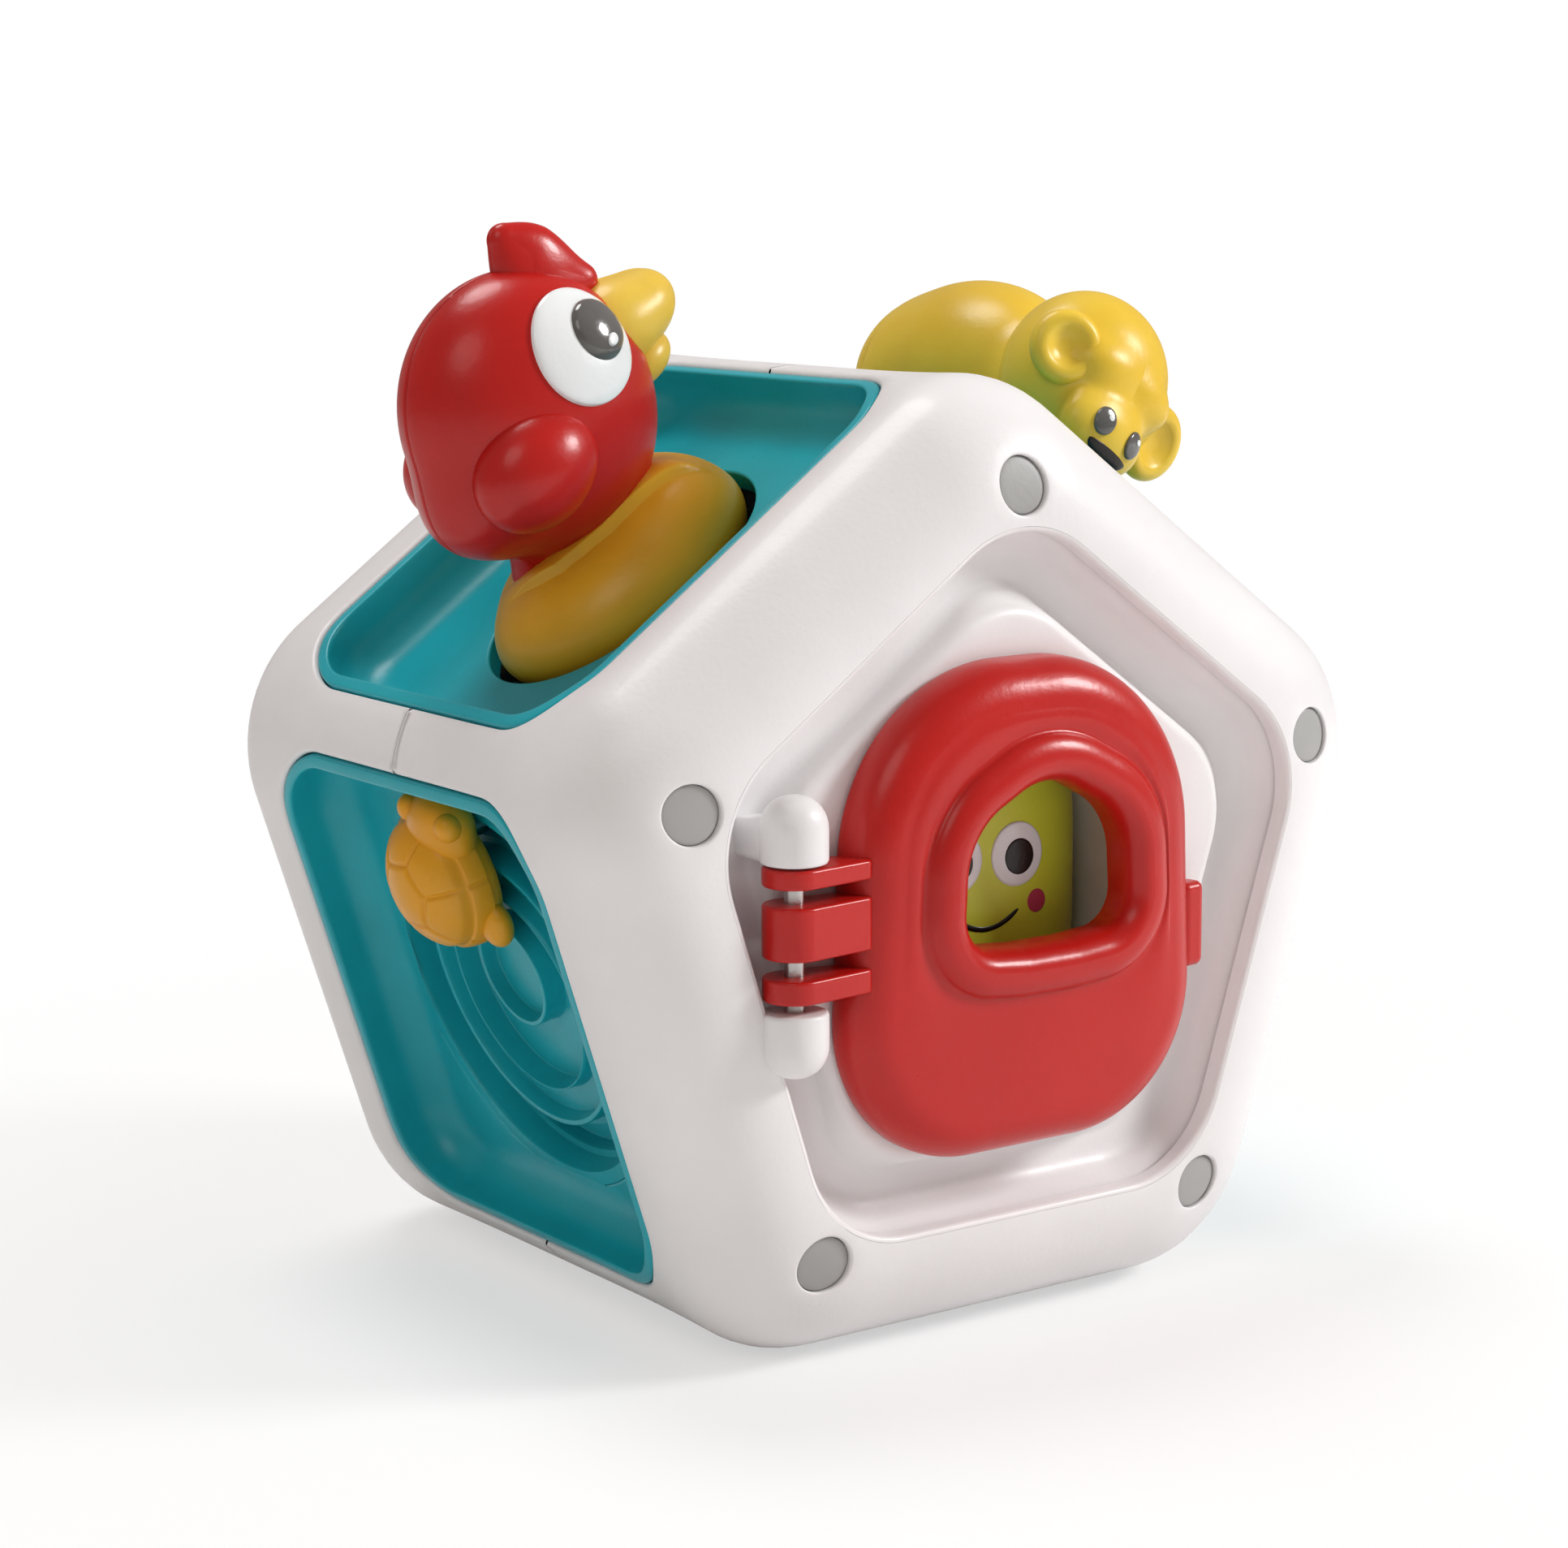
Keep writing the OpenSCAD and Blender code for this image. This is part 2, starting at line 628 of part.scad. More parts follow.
module hinge_pin() color(steel) translate([-hinge_x, hinge_y, body_apothem - 20])
  cylinder(r = hinge_pin_r - 0.02, h = 40, $fn = 32);

// Disc across Y with a rounded front edge
module puck(r, y0, y1, round_r) translate([0, y0, 0]) rotate([-90, 0, 0]) {
  translate([0, 0, round_r]) cylinder(r = r, h = y1 - y0 - round_r, $fn = 40);
  rotate_extrude($fn = 40) intersection() {
    translate([r - round_r, round_r]) circle(r = round_r, $fn = 16);
    square([r, round_r]);
  }
}

module door_form(inset, y0, y1, round_r) translate([door_cx, 0, body_apothem]) hull() for (i = [-1, 1]) {
  translate([i * (door_half_w - door_low_r), 0, door_bottom + door_low_r])
    puck(door_low_r - inset, y0, y1, round_r);
  translate([i * (door_half_w - door_high_r - 1), 0, door_top - door_high_r])
    puck(door_high_r - inset, y0, y1, round_r);
}

module window_form(grow, y0, y1, round_r) translate([door_cx + 1, 0, body_apothem]) hull() {
  translate([0, 0, window_z]) puck(window_r + grow, y0, y1, round_r);
  for (i = [-1, 1]) translate([i * (window_r - window_low_r), 0, window_foot_z])
    puck(window_low_r + grow, y0, y1, round_r);
}

module door_front() color(red) difference() {
  union() {
    difference() {
      door_form(0, door_face_y, door_back_y, door_round);
      door_form(door_wall, door_face_y + door_wall, door_back_y + cut, door_round - door_wall);
    }
    intersection() {
      window_form(rim_w, door_face_y - rim_h, door_face_y + 3, 4.2);
      translate([-big, door_face_y - 10, 0]) cube([2 * big, 10 + door_wall, 2 * big]);
    }
    window_form(tunnel_wall, door_face_y, door_back_y, 0.1);
    for (k = knuckles) translate([-hinge_x, hinge_y, body_apothem + k[0]]) {
      cylinder(r = knuckle_r, h = k[1] - k[0], $fn = 48);
      translate([0, -3.4, 0]) cube([hinge_x + door_cx - door_half_w + 4, 5, k[1] - k[0]]);
    }
    translate([door_cx + door_half_w - door_wall + 0.1, door_face_y + 3.5, body_apothem + latch_z[0]])
      cube([door_wall + 2.9, 4.4, latch_z[1] - latch_z[0]]);
  }
  window_form(0, door_face_y - 10, door_back_y + cut, 0.1);
  translate([-hinge_x, hinge_y, body_apothem - 15]) cylinder(r = hinge_pin_r + run_gap, h = 30, $fn = 48);
}

module door_back() color(red) difference() {
  door_form(door_wall + 0.1, door_back_y - 1.6, door_back_y, 0.1);
  window_form(tunnel_wall + 0.1, door_back_y - 4, door_back_y + 2, 0.1);
}

module bird_bracket() color(white) on_side(BIRD) difference() {
  union() {
    for (j = [-1, 1]) {
      translate([0, j * (ear_y + ear_t / 2), pivot_h]) rotate([90, 0, 0])
        cylinder(r = ear_r, h = ear_t, center = true, $fn = 48);
      translate([-bracket_screw_x - 5, j > 0 ? ear_y : -ear_y - 13, bracket_foot_h - 2])
        cube([2 * bracket_screw_x + 10, 13, 2]);
      translate([-ear_r, j > 0 ? ear_y : -ear_y - ear_t, pivot_h - 16]) cube([2 * ear_r, ear_t, 16]);
    }
    translate([-ear_r, -ear_y - ear_t, pivot_h - 18]) cube([2 * ear_r, 2 * (ear_y + ear_t), 2.1]);
  }
  translate([0, 0, pivot_h]) rotate([90, 0, 0]) cylinder(r = pivot_pin_r, h = 4 * ear_y, center = true, $fn = 32);
  at_bracket_screws() translate([0, 0, bracket_foot_h - 5]) cylinder(r = shank_r + 0.2, h = 10, $fn = 24);
}

module bird_bracket_screws() color(steel) on_side(BIRD) at_bracket_screws()
  translate([0, 0, bracket_foot_h - 2.05]) screw(7);

module bird_pivot_pin() color(steel) on_side(BIRD) translate([0, 0, pivot_h]) rotate([90, 0, 0])
  cylinder(r = pivot_pin_r - 0.02, h = 2 * (ear_y + ear_t), center = true, $fn = 32);

bird_screw_places = [[-11, 4], [11, -4]];
bird_screw_h = floor_h + 5.6;

module perch_form(len, wide, high) hull() for (i = [-1, 1])
  translate([i * (len - wide), 0, 0]) egg(wide, wide, high, 40);

module bird_perch() color(amber) on_side(BIRD) difference() {
  union() {
    difference() {
      translate([0, 0, floor_h]) {
        intersection() {
          perch_form(perch_len, perch_wide, perch_high);
          translate([-big, -big, 0]) cube([2 * big, 2 * big, big]);
        }
        long_hole(perch_len, perch_wide, -perch_skirt, 0.1);
      }
      translate([0, 0, floor_h - 0.5]) perch_form(perch_len - 2.2, perch_wide - 2.2, 6.5);
      long_hole(perch_len - 2.2, perch_wide - 2.2, floor_h - 12, floor_h - 0.4);
    }
    translate([0, 0, pivot_h]) rotate([90, 0, 0]) cylinder(r = hub_r, h = 2 * hub_y, center = true, $fn = 48);
    translate([-hub_r, -hub_y, pivot_h]) cube([2 * hub_r, 2 * hub_y, floor_h + 5.8 - pivot_h]);
    for (p = bird_screw_places) translate([p[0], p[1], bird_screw_h]) cylinder(r = 4, h = 2.4, $fn = 32);
  }
  translate([0, 0, pivot_h]) rotate([90, 0, 0])
    cylinder(r = pivot_pin_r + run_gap, h = 4 * hub_y, center = true, $fn = 48);
  translate([bird_x, 0, bird_h]) ellipsoid(bird_len + 0.1, bird_wide + 0.1, bird_high + 0.1);
  for (p = bird_screw_places) translate([p[0], p[1], 0]) {
    translate([0, 0, floor_h]) cylinder(r = shank_r + 0.2, h = 30, $fn = 24);
    translate([0, 0, floor_h - 12]) cylinder(r = head_r + 0.3, h = bird_screw_h - floor_h + 12, $fn = 32);
  }
}

// Centring spring round the pivot pin: a coil of round wire
coil_r = 3.4;
wire_r = 0.5;
coil_turns = 4;
coil_y0 = hub_y + 1.2;
coil_pitch = 1.15;

module bird_spring() color(steel) on_side(BIRD) translate([0, 0, pivot_h]) {
  steps = 12;
  sides = 6;
  rings = coil_turns * steps;
  points = [
    for (k = [0:rings]) let (a = 360 * k / steps, out = [cos(a), 0, sin(a)],
      way = [-sin(a) * 2 * PI * coil_r, coil_pitch, cos(a) * 2 * PI * coil_r],
      side = cross(way / norm(way), out), mid = coil_r * out + [0, coil_y0 + coil_pitch * k / steps, 0])
      for (s = [0:sides - 1]) mid + wire_r * (cos(360 * s / sides) * out + sin(360 * s / sides) * side)
  ];
  skin = [for (k = [0:rings - 1], s = [0:sides - 1]) let (a = k * sides + s, b = k * sides + (s + 1) % sides)
    each [[a, a + sides, b], [b, a + sides, b + sides]]];
  ends = [for (s = [1:sides - 2]) each
    [[0, s, s + 1], [rings * sides, rings * sides + s + 1, rings * sides + s]]];
  polyhedron(points = points, faces = concat(skin, ends));
}

// Bird: its solid outer form, with crest, tail and one wing
module bird_solid(side) {
  translate([bird_x, 0, bird_h]) {
    ellipsoid(bird_len, bird_wide, bird_high);
    hull() {
      translate([10, 0, 20]) sphere(r = 3.6, $fn = 20);
      translate([14.5, 0, 22.6]) sphere(r = 3.4, $fn = 20);
      translate([17.5, 0, 16]) sphere(r = 3.4, $fn = 20);
      translate([8, 0, 14]) sphere(r = 4, $fn = 20);
    }
    hull() {
      translate([-18, 0, -5.5]) sphere(r = 7, $fn = 24);
      translate([-25.5, 0, -3]) sphere(r = 2.4, $fn = 20);
    }
    hull() {
      translate([-6, side * 9.4, -5]) sphere(r = 7.4, $fn = 28);
      translate([-15, side * 7.4, -9.5]) sphere(r = 3.6, $fn = 20);
    }
  }
}

module bird_half(side) on_side(BIRD) difference() {
  union() {
    difference() {
      bird_solid(side);
      translate([bird_x, 0, bird_h])
        ellipsoid(bird_len - figure_wall, bird_wide - figure_wall, bird_high - figure_wall);
    }
    intersection() {
      for (p = bird_screw_places) translate([p[0], p[1], 0]) cylinder(r = 3, h = bird_h - 10, $fn = 32);
      translate([bird_x, 0, bird_h]) ellipsoid(bird_len - 0.5, bird_wide - 0.5, bird_high - 0.5);
    }
  }
  translate([-big, side > 0 ? -big : 0, 0]) cube([2 * big, big, 2 * big]);
  for (p = bird_screw_places) translate([p[0], p[1], 0]) cylinder(r = shank_r + 0.05, h = bird_screw_h + 13, $fn = 24);
}

module bird_left_half() color(red) bird_half(1);

module bird_right_half() color(red) bird_half(-1);

module bird_beak() color(amber) on_side(BIRD) translate([bird_x, 0, bird_h]) difference() {
  union() {
    hull() {
      translate([20, 0, 0]) sphere(r = 6.5, $fn = 28);
      translate([27.2, 0, -0.6]) sphere(r = 5.6, $fn = 28);
    }
    hull() {
      translate([18, 0, -6.5]) sphere(r = 4.6, $fn = 24);
      translate([24.4, 0, -6.8]) sphere(r = 3.8, $fn = 24);
    }
  }
  ellipsoid(bird_len + 0.05, bird_wide + 0.05, bird_high + 0.05);
}

// Puts children on the bird's flank, with Z along an outward direction
module on_flank(side, x, y, h, turn, tip) translate([bird_x + x, side * y, bird_h + h])
  rotate([0, 0, side * (90 - turn)]) rotate([0, 90 - tip, 0]) children();

// Curved plate over the bird between two heights above its skin
module bird_plate(low, high, r, side, x, y, h) difference() {
  intersection() {
    on_flank(side, x, y, h, 35, 20) translate([0, 0, -6]) cylinder(r = r, h = 14, $fn = 40);
    translate([bird_x, 0, bird_h]) ellipsoid(bird_len + high, bird_wide + high, bird_high + high);
  }
  translate([bird_x, 0, bird_h]) ellipsoid(bird_len + low, bird_wide + low, bird_high + low);
}

module bird_eye_whites() color("white") on_side(BIRD) for (side = [-1, 1])
  bird_plate(0.05, 1.3, 10.6, side, 10.5, 10.5, 7.5);

module bird_pupils() color("dimgray") on_side(BIRD) for (side = [-1, 1])
  bird_plate(1.35, 2.3, 5, side, 12, 9.5, 9.5);

module bird_screws() color(steel) on_side(BIRD) for (p = bird_screw_places)
  translate([p[0], p[1], bird_screw_h - 0.05]) screw(12);

module turtle_at() on_side(MAZE) rotate(turtle_angle) translate([track_r - turtle_in, 0, 0]) children();

module turtle_shell_form(grow) intersection() {
  translate([0, 0, turtle_h]) ellipsoid(turtle_len + grow, turtle_wide + grow, turtle_high + grow);
  translate([-big, -big, turtle_h - grow]) cube(2 * big);
}

module turtle_shell() color(amber) turtle_at() turtle_shell_form(0);

module turtle_body() color(amber) turtle_at() difference() {
  union() {
    intersection() {
      translate([0, 0, turtle_h]) ellipsoid(turtle_len - 0.6, turtle_wide - 0.5, 6, 28);
      translate([-big, -big, floor_h + 0.4]) cube([2 * big, 2 * big, turtle_h - floor_h - 0.45]);
    }
    hull() {
      translate([9, 0, turtle_h + 1.6]) sphere(r = 4.2, $fn = 24);
      translate([11.2, 0, turtle_h + 2.4]) egg(3.8, 6.6, 4.2, 24);
    }
    for (j = [-1, 1]) {
      translate([13, j * 5.4, turtle_h + 5.4]) ellipsoid(2.1, 2, 2, 16);
      translate([-8.3, j * 8.4, floor_h + 3.1]) ellipsoid(2.9, 2.8, 2.6, 16);
    }
  }
  turtle_shell_form(0.05);
  translate([turtle_in, 0, 0]) cylinder(r = stem_r, h = turtle_h + 20, $fn = 32);
}

module turtle_stem() color(steel) turtle_at() translate([turtle_in, 0, track_under_h - 0.2]) difference() {
  cylinder(r = stem_r - 0.02, h = turtle_h - track_under_h, $fn = 32);
  translate([0, 0, -cut]) cylinder(r = 1, h = 7 + cut, $fn = 24);
}

module turtle_washer() color(steel) turtle_at() translate([turtle_in, 0, track_under_h - 1.4]) difference() {
  cylinder(r = 4.4, h = 1.15, $fn = 40);
  translate([0, 0, -cut]) cylinder(r = 1.1, h = 4, $fn = 24);
}

module turtle_screw() color(steel) turtle_at() translate([turtle_in, 0, track_under_h - 1.45]) {
  cylinder(r = 0.95, h = 6.5, $fn = 24);
  mirror([0, 0, 1]) cylinder(r = 2, h = 1.2, $fn = 32);
}

// Monkey's solid forms, grown by a distance
module monkey_torso_form(grow, fn = 28) translate([0, torso_y, torso_h])
  ellipsoid(torso_wide + grow, torso_len + grow, torso_high + grow, fn);

module monkey_head_form(grow, fn = 28) translate([0, monkey_head_y, monkey_head_h])
  ellipsoid(head_wide + grow, head_deep + grow, head_high + grow, fn);

module monkey_spindle() color(straw) on_side(MONKEY) difference() {
  union() {
    translate([0, 0, floor_h + 0.4]) cylinder(r = pedestal_r, h = torso_h - 6 - floor_h, $fn = 64);
    translate([0, 0, floor_h - 8.2]) cylinder(r = spindle_r, h = 10, $fn = 48);
  }
  monkey_torso_form(0.1);
  monkey_head_form(0.1);
  translate([0, 0, floor_h - 9]) cylinder(r = shank_r + 0.05, h = 10, $fn = 24);
  for (j = [-1, 1]) translate([0, j * monkey_screw_y, 0]) {
    cylinder(r = shank_r + 0.2, h = 200, $fn = 24);
    cylinder(r = head_r + 0.3, h = floor_h + 3, $fn = 32);
  }
}

module monkey_torso_shell() {
  difference() {
    monkey_torso_form(0);
    monkey_torso_form(-figure_wall);
  }
  intersection() {
    translate([0, monkey_screw_y, 0]) cylinder(r = 3.4, h = torso_h - 6, $fn = 32);
    monkey_torso_form(-0.5);
  }
}

module monkey_front_half() color(straw) on_side(MONKEY) difference() {
  monkey_torso_shell();
  monkey_head_form(0.05);
  translate([-big, torso_seam_y, 0]) cube([2 * big, big, 2 * big]);
  translate([0, monkey_screw_y, 0]) cylinder(r = shank_r + 0.05, h = torso_h - 7, $fn = 24);
}

module monkey_rear_half() color(straw) on_side(MONKEY) difference() {
  monkey_torso_form(0);
  monkey_torso_form(-figure_wall);
  translate([-big, torso_seam_y - big, 0]) cube([2 * big, big, 2 * big]);
}

module monkey_head() color(straw) on_side(MONKEY) difference() {
  monkey_head_form(0);
  hull() monkey_ears_form(0.05);
  translate([0, -monkey_screw_y, 0]) cylinder(r = shank_r + 0.05, h = monkey_head_h - 6, $fn = 24);
}

ear_x = 15;
ear_back = -17;

// Both ears as one bar with round ends, which passes through the head
module monkey_ears_form(grow) for (i = [-1, 1]) translate([i * ear_x, ear_back, monkey_head_h - 0.5])
  rotate([90, 0, 0]) cylinder(r = 5.6 + grow, h = 4 + 2 * grow, center = true, $fn = 40);

module monkey_ears() color(straw) on_side(MONKEY) hull() monkey_ears_form(0);

// Curved plate over the head between two heights above its skin
module face_plate(low, high) difference() {
  intersection() {
    children();
    monkey_head_form(high);
  }
  monkey_head_form(low);
}

module monkey_eyes() color("dimgray") on_side(MONKEY) for (i = [-1, 1])
  face_plate(0.05, 1) translate([i * 4.2, -40, monkey_head_h - 7.5]) along_y(1.9, 0, 24, 24);

module monkey_mouth() color("dimgray") on_side(MONKEY)
  face_plate(0.05, 1.6) translate([0, -40, monkey_head_h - 12.4]) rotate([0, 0, 0]) hull()
    for (i = [-1, 1]) translate([i * 3.2, 0, 0]) along_y(2.6, 0, 26, 24);

module monkey_body_screws() color(steel) on_side(MONKEY) for (j = [-1, 1])
  translate([0, j * monkey_screw_y, floor_h + 2.95]) screw(torso_h - floor_h - 12);

module monkey_washer() color(steel) on_side(MONKEY) translate([0, 0, floor_h - 9.6]) difference() {
  cylinder(r = spindle_r + 3, h = 1.3, $fn = 48);
  translate([0, 0, -cut]) cylinder(r = shank_r + 0.1, h = 4, $fn = 24);
}

module monkey_screw() color(steel) on_side(MONKEY) translate([0, 0, floor_h - 9.65]) screw(8);

front_shell();
rear_shell();
door_panel();
rear_panel();
bird_tray();
maze_tray();
monkey_tray();
right_tray();
base_panel();
body_screws();
screw_plugs();
door_panel_screws();
rear_panel_screws();
peek_figure();
peek_figure_screws();
hinge_pin();
door_front();
door_back();
bird_bracket();
bird_bracket_screws();
bird_pivot_pin();
bird_spring();
bird_perch();
bird_left_half();
bird_right_half();
bird_beak();
bird_eye_whites();
bird_pupils();
bird_screws();
turtle_shell();
turtle_body();
turtle_stem();
turtle_washer();
turtle_screw();
monkey_spindle();
monkey_front_half();
monkey_rear_half();
monkey_head();
monkey_ears();
monkey_eyes();
monkey_mouth();
monkey_body_screws();
monkey_washer();
monkey_screw();
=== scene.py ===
import json
import bpy
import numpy as np
from mathutils import Matrix
from mathutils.geometry import delaunay_2d_cdt


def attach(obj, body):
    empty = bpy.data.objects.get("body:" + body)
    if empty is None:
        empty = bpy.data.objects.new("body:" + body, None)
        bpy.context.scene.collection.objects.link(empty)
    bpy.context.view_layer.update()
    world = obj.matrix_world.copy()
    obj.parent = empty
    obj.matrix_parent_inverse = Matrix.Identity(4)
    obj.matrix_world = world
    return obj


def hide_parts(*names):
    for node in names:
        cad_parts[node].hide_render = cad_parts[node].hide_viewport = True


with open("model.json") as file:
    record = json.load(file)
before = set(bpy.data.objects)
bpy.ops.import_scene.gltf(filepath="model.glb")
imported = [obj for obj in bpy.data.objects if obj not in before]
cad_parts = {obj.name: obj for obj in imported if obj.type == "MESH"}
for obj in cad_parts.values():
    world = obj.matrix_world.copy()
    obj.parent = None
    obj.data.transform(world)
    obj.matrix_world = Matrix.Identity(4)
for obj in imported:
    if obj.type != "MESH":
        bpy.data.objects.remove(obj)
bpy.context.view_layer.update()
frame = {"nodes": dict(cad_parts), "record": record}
scene = bpy.context.scene
print("frame loaded")

# Sizes are in millimetres here and become metres when a mesh is made.
# Sides and long edges of the prism are named by their angle about Y, from +X towards +Z.
body = dict(apothem=70.6, half=61.2, corner=27.0, front=19.4, back=15.0, backCorner=24.6, blend=45.0)
openings = dict(width=42.4, depth=41.1, corner=15.0, floor=59.6)
sides = dict(bird=126, monkey=54, maze=198, right=-18, base=-90)
edges = (90, 162, -126, -54, 18)
turn = np.radians(36)
axis = np.array([0, 0, body["apothem"]])


def ease(x, low, high):
    # Smooth step from 0 at low to 1 at high: t^2 (3 - 2t)
    t = np.clip((x - low) / (high - low), 0, 1)
    return t * t * (3 - 2 * t)


def unit(v):
    return v / np.maximum(np.linalg.norm(v, axis=-1, keepdims=True), 1e-12)


def stacked(*values):
    # Points from their coordinates, each of which may be one number for all
    return np.stack(np.broadcast_arrays(*values), -1)


def circle(count):
    return np.linspace(0, 2 * np.pi, count, endpoint=False)


def rounding(size, *degrees):
    # Steps round a quarter of a circle, as how far each has come across and along
    return [(size * np.sin(k), size * (1 - np.cos(k))) for k in np.radians(degrees)]


def arc(x, y, wide, high, first, last, steps):
    # Points on an ellipse about (x, y) from one angle to another, in degrees
    return [(x + wide * np.cos(k), y + high * np.sin(k)) for k in np.radians(np.linspace(first, last, steps))]


def bisect(test, yes, no, steps):
    # Halves the way between where a test holds and where it doesn't, and gives the end where it holds
    for _ in range(steps):
        mid = (yes + no) / 2
        hit = test(mid)
        yes, no = np.where(hit, mid, yes), np.where(hit, no, mid)
    return yes


def onSide(angle, s, y, h):
    # Places along a side, along the prism and away from its axis, as points
    a = np.radians(angle)
    return stacked(s * np.sin(a) + h * np.cos(a), y, body["apothem"] - s * np.cos(a) + h * np.sin(a))


def toWorld(angle, points):
    return onSide(angle, *np.moveaxis(np.asarray(points, float), -1, 0))


def turnWorld(angle, normals):
    return toWorld(angle, normals) - toWorld(angle, np.zeros(3))


def outwards(angle):
    return turnWorld(angle, (0, 0, 1))


def gridFaces(rows, cols, closed=True):
    i = np.arange(rows - 1)[:, None]
    j = np.arange(cols if closed else cols - 1)[None, :]
    a, b = i * cols + j, i * cols + (j + 1) % cols
    return np.stack([a, b, b + cols, a + cols], -1).reshape(-1, 4)


def faceNormals(points, faces):
    a, b, c = (points[faces[:, k]] for k in range(3))
    return np.cross(b - a, c - a)


def newObject(name, data):
    obj = bpy.data.objects.new(name, data)
    scene.collection.objects.link(obj)
    return obj


def newMaterial(name):
    mat = bpy.data.materials.new(name)
    mat.use_nodes = True
    return mat, mat.node_tree, mat.node_tree.nodes["Principled BSDF"].inputs


class Shape:
    # Gathers surfaces with their normals, joins equal points and makes one object

    def __init__(self):
        self.points, self.normals, self.faces, self.count = [], [], [], 0

    def add(self, points, normals, faces, facing):
        # facing tells which way is out: one direction, or a function of the faces' centres
        wanted = facing(points[faces[:, :3]].mean(1)) if callable(facing) else np.asarray(facing, float)
        if (faceNormals(points, faces) * wanted).sum() < 0:
            faces = faces[:, ::-1]
        if (normals[faces[:, 0]] * faceNormals(points, faces)).sum() < 0:
            normals = -normals
        self.points.append(points)
        self.normals.append(unit(normals))
        self.faces.append(faces + self.count)
        self.count += len(points)
        return self

    def grid(self, points, facing, closed=True, cap=None):
        # A sheet of rows of points; cap closes the last row onto one point
        points = np.asarray(points, float)
        if cap is not None:
            last = np.broadcast_to(np.asarray(cap, float), points[-1].shape)
            steps = np.linspace(0, 1, 5)[1:, None, None]
            points = np.concatenate([points, points[-1] * (1 - steps) + last * steps])
        along = np.gradient(points, axis=0)
        across = np.roll(points, -1, 1) - np.roll(points, 1, 1) if closed else np.gradient(points, axis=1)
        normals = unit(np.cross(along, across))
        # A row that is one point takes the mean normal of the nearest row that isn't
        weak = np.linalg.norm(across, axis=-1).max(1) < 1e-6
        near = np.flatnonzero(~weak)
        for row in np.flatnonzero(weak):
            normals[row] = unit(normals[near[np.abs(near - row).argmin()]].mean(0))
        faces = gridFaces(*points.shape[:2], closed)
        return self.add(points.reshape(-1, 3), normals.reshape(-1, 3), faces, facing)

    def mesh(self, name, material):
        points, normals = np.concatenate(self.points), np.concatenate(self.normals)
        key, place, where = np.unique(np.round(points, 3), axis=0, return_index=True, return_inverse=True)
        where = where.reshape(-1)
        total = np.zeros((len(key), 3))
        np.add.at(total, where, normals)
        faces = []
        for part in self.faces:
            for f in where[part].tolist():
                clean = [v for k, v in enumerate(f) if v != f[k - 1]]
                if len(set(clean)) == len(clean) > 2:
                    faces.append(clean)
        mesh = bpy.data.meshes.new(name)
        mesh.from_pydata((points[place] * 0.001).tolist(), [], faces)
        mesh.polygons.foreach_set("use_smooth", np.ones(len(faces), bool))
        mesh.normals_split_custom_set_from_vertices(unit(total).tolist())
        mesh.materials.append(material)
        return mesh

    def make(self, name, finish, rides, *replaced):
        obj = newObject(name, self.mesh(name, paints[finish]))
        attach(obj, rides)
        if replaced:
            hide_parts(*replaced)


class Shade:
    # A value in a node tree. Sums, differences and products of it are Math nodes, and node makes any other.

    def __init__(self, tree, socket=None):
        self.tree, self.socket = tree, socket

    def node(self, kind, settings=None, sockets=None, output=0):
        made = self.tree.nodes.new("ShaderNode" + kind)
        for name, value in (settings or {}).items():
            setattr(made, name, value)
        for key, value in (sockets or {}).items():
            if isinstance(value, Shade):
                value.to(made.inputs[key])
            else:
                made.inputs[key].default_value = value
        return Shade(self.tree, made.outputs[output])

    def to(self, socket):
        self.tree.links.new(self.socket, socket)

    def maths(self, kind, *values):
        return self.node("Math", dict(operation=kind), dict(enumerate(values)))

    def __add__(self, other):
        return self.maths("ADD", self, other)

    def __sub__(self, other):
        return self.maths("SUBTRACT", self, other)

    def __rsub__(self, other):
        return self.maths("SUBTRACT", other, self)

    def __mul__(self, other):
        return self.maths("MULTIPLY", self, other)

    __radd__, __rmul__ = __add__, __mul__

    def step(self, low, high):
        limits = {"Value": self, "From Min": low, "From Max": high}
        return self.node("MapRange", dict(interpolation_type="SMOOTHSTEP"), limits)

    def noise(self, scale, detail):
        return self.node("TexNoise", sockets={"Vector": self, "Scale": scale, "Detail": detail})

    def colour(self, low, high):
        # The Mix node's colours are its inputs 6 and 7, and its output 2
        return self.node("Mix", dict(data_type="RGBA"), {0: self, 6: (*low, 1), 7: (*high, 1)}, 2)


def linear(code):
    # A colour written as six hexadecimal digits, in linear light
    v = np.array([int(code[k:k + 2], 16) for k in (0, 2, 4)]) / 255
    return tuple(np.where(v < 0.04045, v / 12.92, ((v + 0.055) / 1.055) ** 2.4).tolist())


# Scales are in repeats per metre, spread is the range of the gloss and distance is in metres
grains = dict(clouds=38, gloss=160, spread=0.09, fine=900, strength=0.096, distance=0.0004, specular=0.38)


